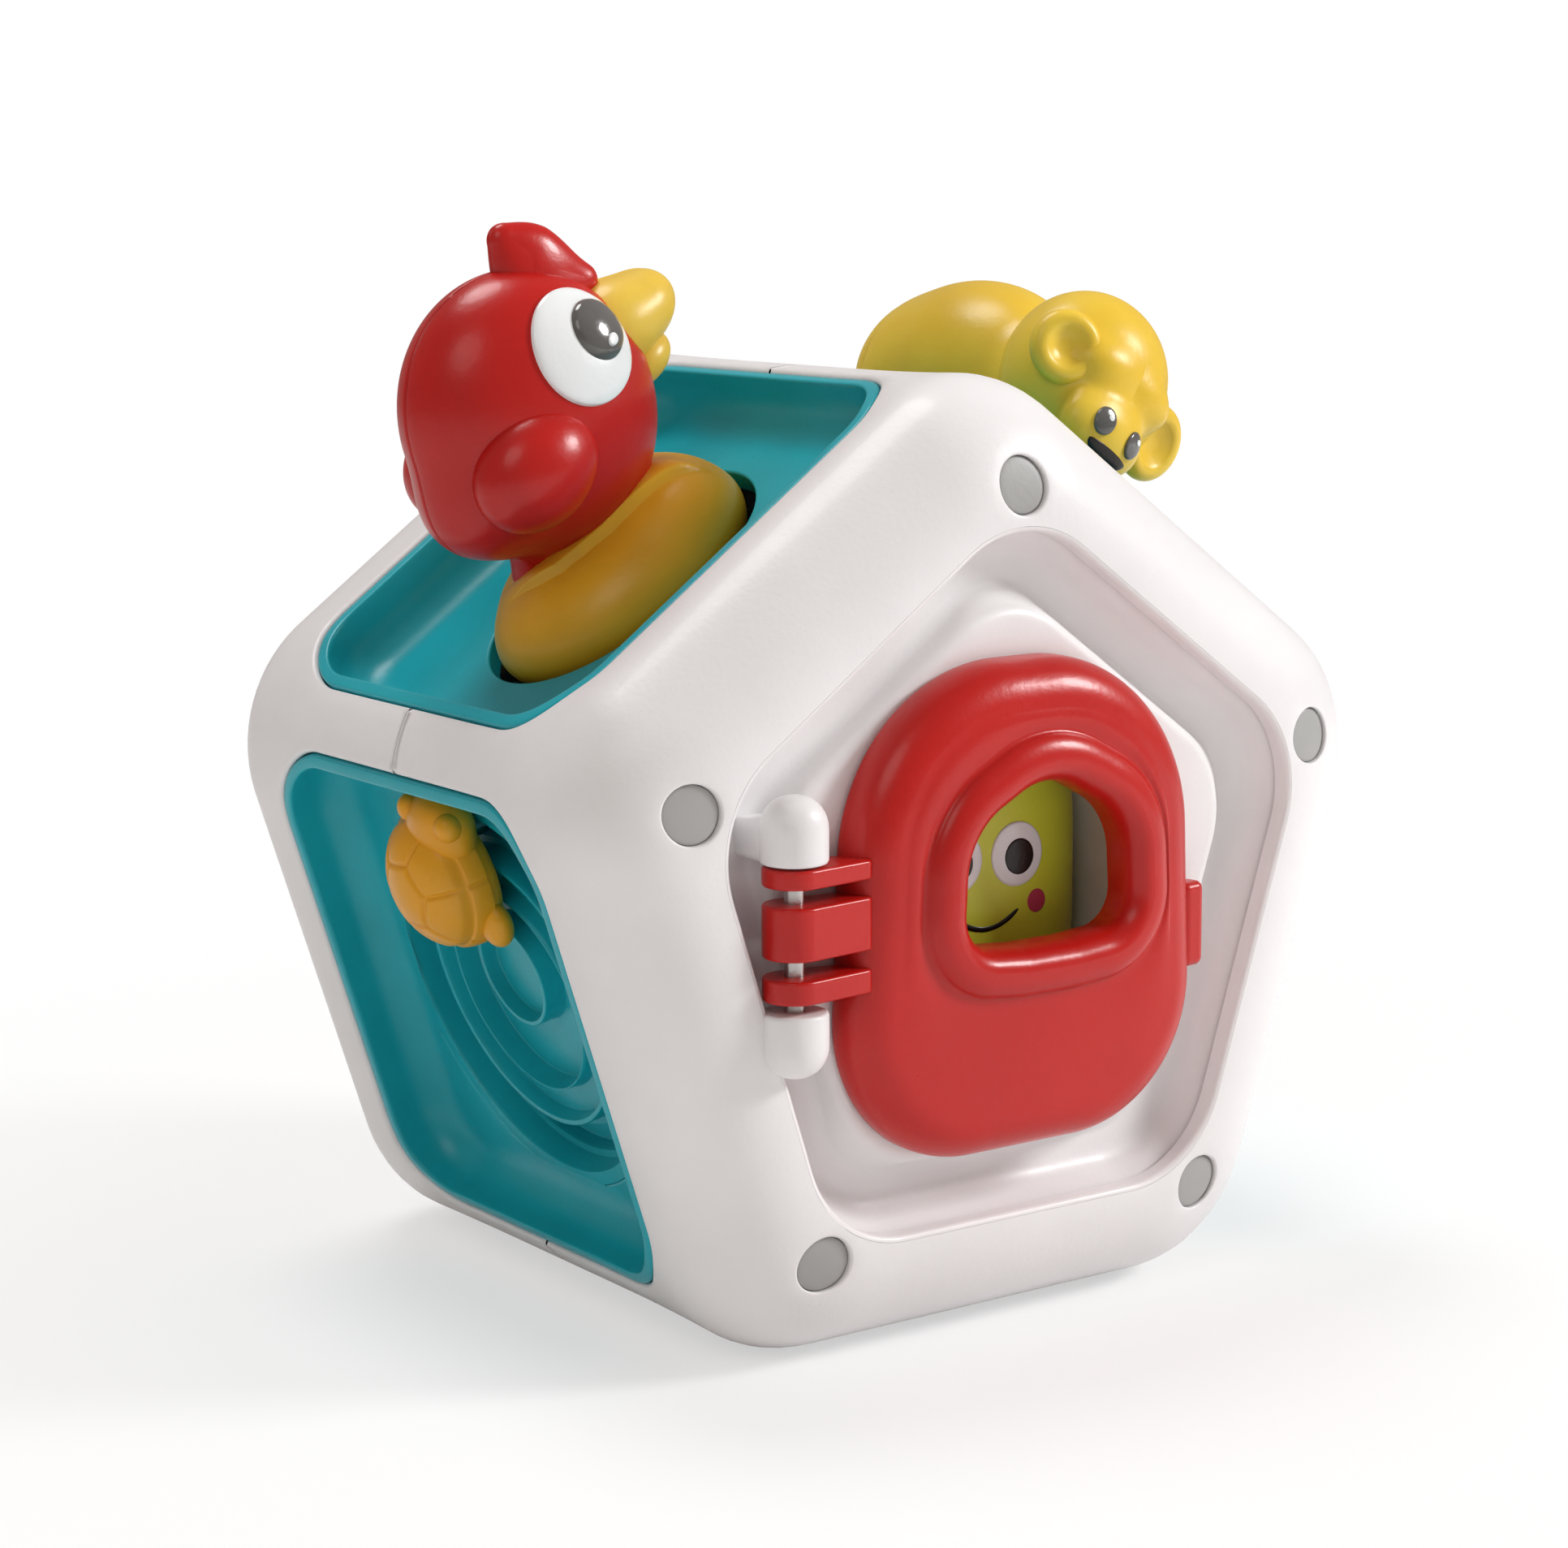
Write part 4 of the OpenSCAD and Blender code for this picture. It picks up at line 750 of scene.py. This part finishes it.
def star(shape, angle, field, centre, reach=34, rows=130, cols=208, up=(0, 0, 1), fine=0.0):
    # A closed surface seen from its centre: direction from two angles, distance where the field is zero.
    # fine draws the columns together where the seam crosses them; angle is a side, or a function of points.
    up = unit(np.array(up, float))
    side = np.array([1.0, 0, 0])
    theta = np.linspace(0, np.pi, rows)[:, None, None]
    phi = circle(cols)
    phi = (phi - fine * np.sin(2 * phi))[None, :, None]
    way = np.cos(theta) * up + np.sin(theta) * (np.cos(phi) * side + np.sin(phi) * np.cross(up, side))
    centre = np.array(centre, float)
    points = surfaceAlong(centre, way, field, reach)
    normals = unit(np.stack([field(points + t) - field(points - t) for t in np.eye(3) * 0.02], -1))
    points[0], points[-1] = points[0].mean(0), points[-1].mean(0)
    points, normals = points.reshape(-1, 3), normals.reshape(-1, 3)
    placed = angle if callable(angle) else lambda p: toWorld(angle, p)
    world, middle = placed(points), placed(centre)
    outward = unit(placed(points + normals) - world)
    return shape.add(world, outward, gridFaces(rows, cols), lambda p: p - middle)


def patch(shape, angle, field, place, facing, size, rise, up=0.0, back=1.2, outlineOf=None):
    # A thin piece that lies at a height of up over a surface: rings of points dropped onto it along facing,
    # raised by a profile
    n = unit(np.array(facing, float))
    e1 = unit(np.cross([0, 0, 1], n))
    e2 = np.cross(n, e1)
    t = circle(72)
    rim = (stacked(np.cos(t), np.sin(t)) if outlineOf is None else outlineOf(t)) * np.array(size, float)
    k = np.linspace(0, 1, 16)[:, None, None]
    flat = np.array(place, float) + k * (rim[None, :, 0:1] * e1 + rim[None, :, 1:2] * e2)
    on = surfaceAlong(flat - n * 12, np.broadcast_to(n, flat.shape), lambda p: field(p) - up, 30)
    high = rise(k)
    # The side goes straight down from just outside the rim, to back under the surface
    skirt = on[-1:] + n * (high[-1] - 0.35) + (flat[-1] - flat[0]) * 0.012
    world = toWorld(angle, np.concatenate([on + n * high, skirt, on[-1:] - n * back]))
    world[0] = world[0].mean(0)
    middle = toWorld(angle, place - n * 12)
    return shape.grid(world[::-1], lambda p: p - middle)


def crown(high):
    # Height of a thin piece over its surface from its middle, k = 0, to its rim, k = 1
    return lambda k: high * (1 - k**2 * 0.25) - 0.16 * high * ease(k, 0.9, 1.0)


def dome(base, rise):
    # The same for a rounder piece: base + rise sqrt(1 - k^2)
    return lambda k: base + rise * np.sqrt(1.0001 - k**2)


bird = dict(
    body=(((2.05, 0, 91.4), (22, 14.5, 23.3)), ((-13.0, 0, 86.0), (9.5, 10.0, 9.0), 5.0)),
    crest=((12.0, 0, 107.0, 4.6), (14.6, 0, 115.8, 2.8), (18.8, 0, 111.2, 2.9), (22.2, 0, 102.2, 3.0)),
    crestThin=(1, 1.35, 1), crestMiddle=((16.4, 0, 107.6), (6.4, 3.7, 9.0)), crestSeenFrom=(16.0, 0, 107.5),
    wing=((-7.2, -10.8, 88.2), (11.2, 7.6, 9.2)), bossEnds=(5.0, 3.6),
    bosses=(((-6, 1, 78), (-11, 4, 68.5)), ((5, -1, 78), (10.6, -3.4, 68.5))),
)


def crestField(p):
    # Cones between all pairs of the crest's balls, a little thinner than round, with a filled middle
    thin = p * bird["crestThin"]
    balls = bird["crest"]
    links = [(a, b) for k, a in enumerate(balls) for b in balls[k + 1:]]
    f = np.min([cone(thin, a[:3], b[:3], a[3], b[3]) for a, b in links], 0)
    return join(f, ellipsoid(p, *bird["crestMiddle"]), 2.0) + groove(p[..., 1])


def birdField(p):
    f = blob(p, bird["body"])
    for a, b in bird["bosses"]:
        f = join(f, cone(p, a, b, *bird["bossEnds"]), 2.0)
    return f + groove(p[..., 1])


birdSide, monkeySide = sides["bird"], sides["monkey"]
birdShape = star(Shape(), birdSide, birdField, bird["body"][0][0], fine=0.35, rows=170, cols=264)
star(birdShape, birdSide, crestField, bird["crestSeenFrom"], reach=20, rows=100, cols=160)
for way in (-1, 1):
    at, semi = np.array(bird["wing"][0]) * [1, way, 1], bird["wing"][1]
    star(birdShape, birdSide, lambda p: ellipsoid(p, at, semi), at, reach=16, rows=70, cols=110)
birdShape.make("birdBody", "red", "bird", "bird_left_half", "bird_right_half")

# glint and paintedGlintShift give the painted highlight on each pupil: its size and how far it sits from the pupil's
# middle
eyes = dict(
    place=(11.4, 12.2, 98.9), facing=(0.46, 0.82, 0.33), white=(9.4, 9.4), pupil=(5.1, 5.1), shift=(2.6, -1.0, -0.1),
    paintedGlint=(1.2, 0.9), paintedGlintShift=(-1.0, 0, -3.0),
)
# The glints are painted highlights: small white spots on the pupils that stand in for reflections of the lamps
whites, pupils, paintedGlints = Shape(), Shape(), Shape()
for way in (-1, 1):
    mirror = np.array([1, way, 1])
    place, facing = eyes["place"] * mirror, eyes["facing"] * mirror
    patch(whites, birdSide, birdField, place, facing, eyes["white"], crown(1.25))
    place = place + eyes["shift"] * mirror
    patch(pupils, birdSide, birdField, place, facing, eyes["pupil"], dome(0.25, 1.5), up=1.1)
    place = place + eyes["paintedGlintShift"]
    patch(paintedGlints, birdSide, birdField, place, facing, eyes["paintedGlint"], crown(0.5), up=2.4, back=1.6)
whites.make("birdEyeWhites", "eyeWhiteAndGlint", "bird", "bird_eye_whites")
pupils.make("birdPupils", "dark", "bird", "bird_pupils")
paintedGlints.make("birdPaintedGlints", "eyeWhiteAndGlint", "bird")

# Each half of the beak: its ellipsoids, where it is seen from, how far, and its rows and columns
halves = (
    ((((25.6, 0, 92.6), (9.4, 7.2, 6.4)), ((21.5, 0, 93.5), (8, 8.0, 7.4), 2.0)), (24, 0, 92.5), 16, 90, 144),
    ((((22.8, 0, 85.6), (6.6, 5.4, 4.2)),), (22.8, 0, 85.6), 12, 60, 96),
)
beak = Shape()
for parts, seenFrom, reach, rows, cols in halves:
    star(beak, birdSide, lambda p: blob(p, parts) + groove(p[..., 1]), seenFrom, reach, rows, cols, fine=0.3)
beak.make("birdBeak", "beak", "bird", "bird_beak")

perch = dict(
    body=(((0, 0, 59.6), (24.9, 18.7, 12.3)), ((9.5, 0, 64.1), (11.4, 15.0, 8.2), 5.0)), foot=52.6, step=1.5,
    fold=((-20, 6), (-17, 2.5), (-14, -2.6), (-11, -5.6), (-7, -7.2), (-2, -8.4), (6, -9.4), (14, -9.8), (22, -10)),
)


def perchField(p):
    # A saddle whose ridge climbs to one end, with an S-shaped fold along the near side
    s, y, h = p[..., 0], p[..., 1], p[..., 2]
    fold = y - np.interp(s, *zip(*perch["fold"]))
    over = ease(fold, -0.5, 0.2) * (1 - 0.8 * ease(fold, 0.3, 8.0))
    step = perch["step"] * over * ease(s, -18.5, -13) * (1 - ease(s, 14, 20))
    return np.maximum(blob(p, perch["body"]) - step, perch["foot"] - h)


perchShape = star(Shape(), birdSide, perchField, (0, 0, 60.5), rows=190, cols=240)
perchShape.make("birdPerch", "amber", "bird", "bird_perch")
print("bird made")

# The neck's rows are (radius, height over the tray's floor) from inside the torso down to the foot
monkey = dict(
    torso=(
        ((-1.0, 20, 94.5), (15.5, 23.0, 16.5)), ((-1.5, 33, 91.5), (12.5, 12, 13.5), 5.0),
        ((0, -2, 92.5), (11, 9, 11.5), 4.0),
    ),
    seam=35.4, seenFrom=(-0.5, 17, 93.5),
    head=(((-1.8, -11.0, 93.4), (15.6, 13.2, 15.6)), ((-1.8, -22.2, 83.4), (9.0, 4.8, 7.0), 3.2)),
    brow=((5.2, -21.2, 93.5), (5.2, 3.0, 3.4)), browMiddle=-1.0,
    neck=[
        (0.001, 30.5), (6, 30), (9.5, 28), (11, 24), (11.9, 18), (12.3, 14.9), (12.7, 14.5), (13.1, 14.1),
        (13.2, 13.6), (13.2, 1.2), (12.8, 0.5), (11, 0.4), (0.001, 0.4),
    ],
    ears={-1: ((-14.6, -19.4, 92.4), 6.4), 1: ((15.0, -14.5, 92.0), 7.0)},
    # glint and paintedGlintShift give the painted highlight on each eye: its size and how far it sits from the eye's
    # middle
    eye=(2.0, 2.5), eyes=(-1.3, -25, 84.2), eyesApart=3.8, paintedGlint=(0.55, 0.55), paintedGlintShift=(0.5, 0, 1.0),
    mouth=(4.8, 2.3), mouthAt=(-1.2, -25, 79.6), mouthFacing=(0, -1, -0.35),
)


def torsoField(p):
    return blob(p, monkey["torso"]) + groove(p[..., 1] - monkey["seam"])


def headField(p):
    mirrored = stacked(np.abs(p[..., 0] - monkey["browMiddle"]), p[..., 1], p[..., 2])
    return join(blob(p, monkey["head"]), ellipsoid(mirrored, *monkey["brow"]), 3.4)


torso = star(Shape(), monkeySide, torsoField, monkey["seenFrom"], reach=42, up=(0, 1, 0))
lathe(torso, monkey["neck"], toWorld(monkeySide, (0, 0, openings["floor"])), outwards(monkeySide), 96)
torso.make("monkeyBody", "straw", "monkey", "monkey_front_half", "monkey_rear_half", "monkey_spindle")
head = star(Shape(), monkeySide, headField, monkey["head"][0][0], reach=22, up=(0, 1, 0))
head.make("monkeyHead", "straw", "monkey", "monkey_head")

saucer = dict(
    back=[(0.001, -3.4), (3.2, -3.4), (5.0, -2.4)], rim=1.9, rimUp=-0.4,
    hollow=[(2.1, 0.25), (1.5, 0.05), (0.8, -0.05), (0.001, -0.08)],
)


def ear(shape, way):
    # A thick saucer: a rolled rim round a hollow, with its profile turned about its own axis
    at, radius = monkey["ears"][way]
    facing = unit(np.array([0.3 * way - 0.1, -1.0, -0.1]))
    r = saucer["rim"]
    rows = saucer["back"] + arc(radius - r, saucer["rimUp"], r, r, -50, 140, 14) + saucer["hollow"]
    return lathe(shape, rows, toWorld(monkeySide, at), turnWorld(monkeySide, facing), 72)


def smile(t):
    # A half circle with a nearly straight upper edge
    return stacked(np.cos(t), np.where(np.sin(t) < 0, np.sin(t), 0.32 * np.sin(t)) + 0.4)


ear(ear(Shape(), -1), 1).make("monkeyEars", "straw", "monkey", "monkey_ears")
# The glints are painted highlights: small white spots on the eyes that stand in for reflections of the lamps
monkeyEyes, monkeyPaintedGlints = Shape(), Shape()
for way in (-1, 1):
    at, facing = monkey["eyes"] + np.array([monkey["eyesApart"] * way, 0, 0]), (0.08 * way, -1, -0.1)
    patch(monkeyEyes, monkeySide, headField, at, facing, monkey["eye"], crown(0.7), back=0.6)
    at = at + monkey["paintedGlintShift"]
    patch(monkeyPaintedGlints, monkeySide, headField, at, facing, monkey["paintedGlint"], crown(0.25), up=0.6, back=0.4)
monkeyEyes.make("monkeyEyes", "dark", "monkey", "monkey_eyes")
monkeyPaintedGlints.make("monkeyPaintedGlints", "eyeWhiteAndGlint", "monkey")
mouth = patch(Shape(), monkeySide, headField, monkey["mouthAt"], monkey["mouthFacing"], monkey["mouth"],
              crown(0.35), back=0.6, outlineOf=smile)
mouth.make("monkeyMouth", "black", "monkey", "monkey_mouth")
print("monkey made")

# Places are the turtle's own, x away from the middle of the side and z from where its shell sits.
# Eyes and feet are (middle of the pair, half the way between them, semi-axes, reach).
turtle = dict(
    track=28.5, inset=5.5, at=3.5, height=62.8, shell=(12.5, 11.5, 10.2), plates=0.42, hem=0.9, scale=11,
    head=(((8.6, -4.4, 1.4), (6.6, 7.4, 4.4)), ((10.4, -5.2, 1.6), (4.2, 6.8, 3.8), 2.0)), seenFrom=(9.2, -4.8, 1.5),
    eyes=((11.6, -5.4, 3.2), (1.3, 5.1, 0), (2.4, 2.3, 2.3), 5), belly=(11.9, 11.0, 6), bellyAt=-1.2, bellyHalf=1.3,
    feet=((-8.3, 0, -0.2), (0, 8.4, 0), (3.9, 3.5, 2.4), 8),
)


def turtleWorld(p):
    # The turtle's own places, turned to where it rests in its track
    a, x, y = np.radians(turtle["at"]), p[..., 0] + turtle["track"] - turtle["inset"], p[..., 1]
    s, y = x * np.cos(a) - y * np.sin(a), x * np.sin(a) + y * np.cos(a)
    return onSide(sides["maze"], s, y, p[..., 2] + turtle["height"])


def shellField(p):
    # A dome with a ring of six plates drawn in by grooves round a middle plate
    f = ellipsoid(p, (0, 0, 0), turtle["shell"])
    x, y, scale = p[..., 0] / turtle["shell"][0], p[..., 1] / turtle["shell"][1], turtle["scale"]
    r, a = np.hypot(x, y), np.arctan2(y, x)
    near = (a + np.pi / 6) % (np.pi / 3) - np.pi / 6
    hexagon = (r * np.cos(near) - turtle["plates"]) * scale
    spoke = r * np.sin((a % (np.pi / 3)) - np.pi / 6) * scale
    lines = np.minimum(np.abs(hexagon), np.where(hexagon > 0, np.abs(spoke), 9))
    lines = np.minimum(lines, np.abs(r - turtle["hem"]) * scale)
    return np.maximum(f + groove(lines, 0.34, 0.42), -0.2 - p[..., 2])


def bellyField(p):
    slab = np.abs(p[..., 2] - turtle["bellyAt"]) - turtle["bellyHalf"]
    return np.maximum(ellipsoid(p, (0, 0, 0), turtle["belly"]), slab)


turtleShell = star(Shape(), turtleWorld, shellField, (0, 0, 0.6), reach=20, rows=150, cols=210)
turtleShell.make("turtleShell", "orange", "turtle", "turtle_shell")
turtleBody = Shape()
star(turtleBody, turtleWorld, lambda p: blob(p, turtle["head"]), turtle["seenFrom"], reach=12, rows=60, cols=96)
for way in (-1, 1):
    for at, apart, semi, reach in (turtle["eyes"], turtle["feet"]):
        at = at + np.array(apart) * way
        star(turtleBody, turtleWorld, lambda p: ellipsoid(p, at, semi), at, reach=reach, rows=32, cols=48)
star(turtleBody, turtleWorld, bellyField, (0, 0, -1), reach=14, rows=60, cols=96)
turtleBody.make("turtleBody", "orange", "turtle", "turtle_body")
print("turtle made")

# Sizes of the face are (x, z) half widths; heights are from the prism's axis
figure = dict(centre=(-1.0, -37.3, 1.5), semi=(23.2, 15.5, 26.2), base=-37.6, seenFrom=(-1, -40, 1.5), foot=-39.4)
face = dict(
    eyes=(6.2, 5.5), white=(5.2, 5.2), pupil=(2.9, 2.9), pupilShift=(0.3, 0, -0.4),
    cheeks=(10.4, -2.6), cheek=(1.9, 1.9), smile=-6.0, smileWide=6.5, smileDeep=2.6, line=0.42, lineUp=(0.12, 0.1),
)


def figureField(p):
    # A plain squarish dome that faces the door: (sum of |p / semi|^4)^(1/4) = 1
    v = np.abs((p - np.array(figure["centre"])) / np.array(figure["semi"]))
    return np.maximum(((v**4).sum(-1) ** 0.25 - 1) * 16, p[..., 1] - figure["base"])


def figureSmile(shape):
    # A curved line as rows of points dropped onto the figure: height smile + deep * bend^2, pointed at its ends
    bend = np.linspace(-1, 1, 60)
    wide, deep = face["smileWide"], face["smileDeep"]
    x, z = figure["centre"][0] + wide * bend, face["smile"] + deep * bend**2
    across = unit(stacked(-2 * deep * bend / wide, 0, 1))
    half = face["line"] * np.sqrt(np.maximum(1 - bend**8, 0.001))
    low, high = face["lineUp"]
    rows = []
    for k in np.linspace(-1, 1, 7):
        at = stacked(x, -50, z) + across * (half * k)[:, None]
        on = surfaceAlong(at + [0, 12, 0], np.broadcast_to([0.0, -1, 0], at.shape), figureField, 30)
        rows.append(toWorld(90, on - np.array([0, low + high * np.sqrt(1.0001 - k * k), 0])))
    return shape.grid(rows, (0, -1, 0), closed=False)


figureShape = star(Shape(), 90, figureField, figure["seenFrom"], reach=28, rows=100, cols=140, up=(0, -1, 0))
plate(figureShape, pocket, figure["foot"], figure["base"] + 0.1, 0.5,
      lambda u, v, w: stacked(u, w, body["apothem"] + v))
figureShape.make("peekFigure", "lime", "body", "peek_figure")
faceWhites, faceDarks, cheeks, ahead = Shape(), Shape(), Shape(), (0, -1, 0)
for way in (-1, 1):
    (apart, up), (cheekApart, cheekUp) = face["eyes"], face["cheeks"]
    at = np.array([figure["centre"][0] + apart * way, -50, up])
    patch(faceWhites, 90, figureField, at, ahead, face["white"], crown(0.3), back=0.4)
    at = at + face["pupilShift"]
    patch(faceDarks, 90, figureField, at, ahead, face["pupil"], crown(0.2), up=0.26, back=0.3)
    at = np.array([figure["centre"][0] + cheekApart * way, -48, cheekUp])
    patch(cheeks, 90, figureField, at, ahead, face["cheek"], crown(0.15), back=0.3)
figureSmile(faceDarks)
faceWhites.make("figureEyeWhites", "eyeWhiteAndGlint", "body")
faceDarks.make("figureFace", "black", "body")
cheeks.make("figureCheeks", "cheek", "body")
print("peek figure made")

plugs = dict(radius=4.5, sunk=0.7, round=0.25, back=-53.8)
plugShape = Shape()
share = np.array([0.001, 0.35, 0.7, 0.9, 0.96, 1.0])[:, None]
around, rho, q = wellRing(plugs["radius"] * share, circle(56))
y = profile(q)[0] + plugs["sunk"] + plugs["round"] * np.maximum(share - 0.9, 0) / 0.1
for edge in edges:
    rings = ringAt(around + np.radians(edge), rho, y)
    rim = rings[-1] * [1, 0, 1] + [0, plugs["back"], 0]
    middle = rings[0].mean(0) + [0, 2, 0]
    rings[0] = rings[0].mean(0)
    bottom = np.broadcast_to(rim.mean(0), rim.shape)
    plugShape.grid([*rings, rim, bottom], lambda p: p - middle)
plugShape.make("screwPlugs", "grey", "body", "screw_plugs")

# The pieces that keep their CAD shape get their finishes here, from the first finish of their slot
finishOf = {slot: finish for finish, slot in reversed(slots.items())}
parts = frame["record"]["subparts"]
for row in parts:
    materials = frame["nodes"][row["node"]].data.materials
    materials.clear()
    materials.append(paints[finishOf[row["material_slot"]]])
print("finishes set on", len(parts), "CAD pieces")

# Sizes, places and reaches are in metres from here on
floor = dict(grey=0.94, rough=0.9, near=0.06, far=0.3, least=0.55, rings=(0.001, 0.3, 0.8, 1.6, 3.0), z=-0.0006)


def floorMaterial():
    # Pale floor that keeps the shadow near the object and turns plain white further out, for the camera alone
    mat, tree, inputs = newMaterial("paleFloor")
    inputs["Base Color"].default_value = (*[floor["grey"]] * 3, 1)
    inputs["Roughness"].default_value = floor["rough"]
    place = Shade(tree).node("TexCoord", output="Object")
    length = place.node("VectorMath", dict(operation="LENGTH"), {0: place}, "Value")
    seen = place.node("LightPath", output="Is Camera Ray")
    share = length.step(floor["near"], floor["far"]) * (1 - floor["least"]) + floor["least"]
    surfaces = {0: share * seen, 1: Shade(tree, tree.nodes["Principled BSDF"].outputs[0]), 2: place.node("Emission")}
    place.node("MixShader", sockets=surfaces).to(tree.nodes["Material Output"].inputs["Surface"])
    return mat


t = circle(96)
reach = np.array(floor["rings"])[:, None]
disc = stacked(reach * np.cos(t), reach * np.sin(t), floor["z"]) * 1000
newObject("floor", Shape().grid(disc, (0, 0, 1)).mesh("floor", floorMaterial()))

# The camera's place and axes come from fitting corners of the toy to the photograph
view = dict(
    lens=81.03, sensor=36, clip=(0.02, 20), place=(-0.3447, -0.4812, 0.184),
    right=(0.8147, -0.5799, -0.0042), down=(-0.1016, -0.1356, -0.9855),
)

def posed(x, y, z, place):
    m = np.eye(4)
    m[:3, :3], m[:3, 3] = np.stack([x, y, z], 1), place
    return Matrix(m.tolist())


def addCamera():
    data = bpy.data.cameras.new("camera")
    data.lens, data.sensor_width = view["lens"], view["sensor"]
    data.clip_start, data.clip_end = view["clip"]
    camera = newObject("camera", data)
    right, down = unit(np.array(view["right"])), np.array(view["down"])
    up = unit(right * (down @ right) - down)
    camera.matrix_world = posed(right, up, np.cross(right, up), view["place"])
    scene.camera = camera


# Each lamp: place, diameter, power in watts and colour
aim = np.array([0, 0, 0.07])
lamps = dict(
    key=((1.15, -0.85, 0.85), 0.45, 18, (1, 1, 1)),
    fill=((-0.9, -0.7, 1.0), 0.7, 2.4, (1, 0.95, 0.9)),
    rim=((-0.1, 0.4, 1.4), 0.6, 9, (1, 1, 1)),
)


def softLamp(name, place, size, power, colour):
    data = bpy.data.lights.new(name, "AREA")
    data.shape = "DISK"
    data.size, data.energy, data.color = size, power, colour
    back = unit(place - aim)
    side = unit(np.cross([0, 0, 1], back))
    newObject(name, data).matrix_world = posed(side, np.cross(back, side), back, place)


addCamera()
for name, lamp in lamps.items():
    softLamp(name, *lamp)

# The camera sees a white world; what is lit by it gets a weaker, warmer one
sky = dict(tint=(1, 0.89, 0.83), least=0.3)
world = bpy.data.worlds.new("studio")
scene.world = world
world.use_nodes = True
tree = world.node_tree
inputs = tree.nodes["Background"].inputs
seen = Shade(tree).node("LightPath", output="Is Camera Ray")
seen.colour(sky["tint"], (1, 1, 1)).to(inputs["Color"])
(seen * (1 - sky["least"]) + sky["least"]).to(inputs["Strength"])
scene.view_settings.view_transform = "Standard"
print("camera and lamps set")
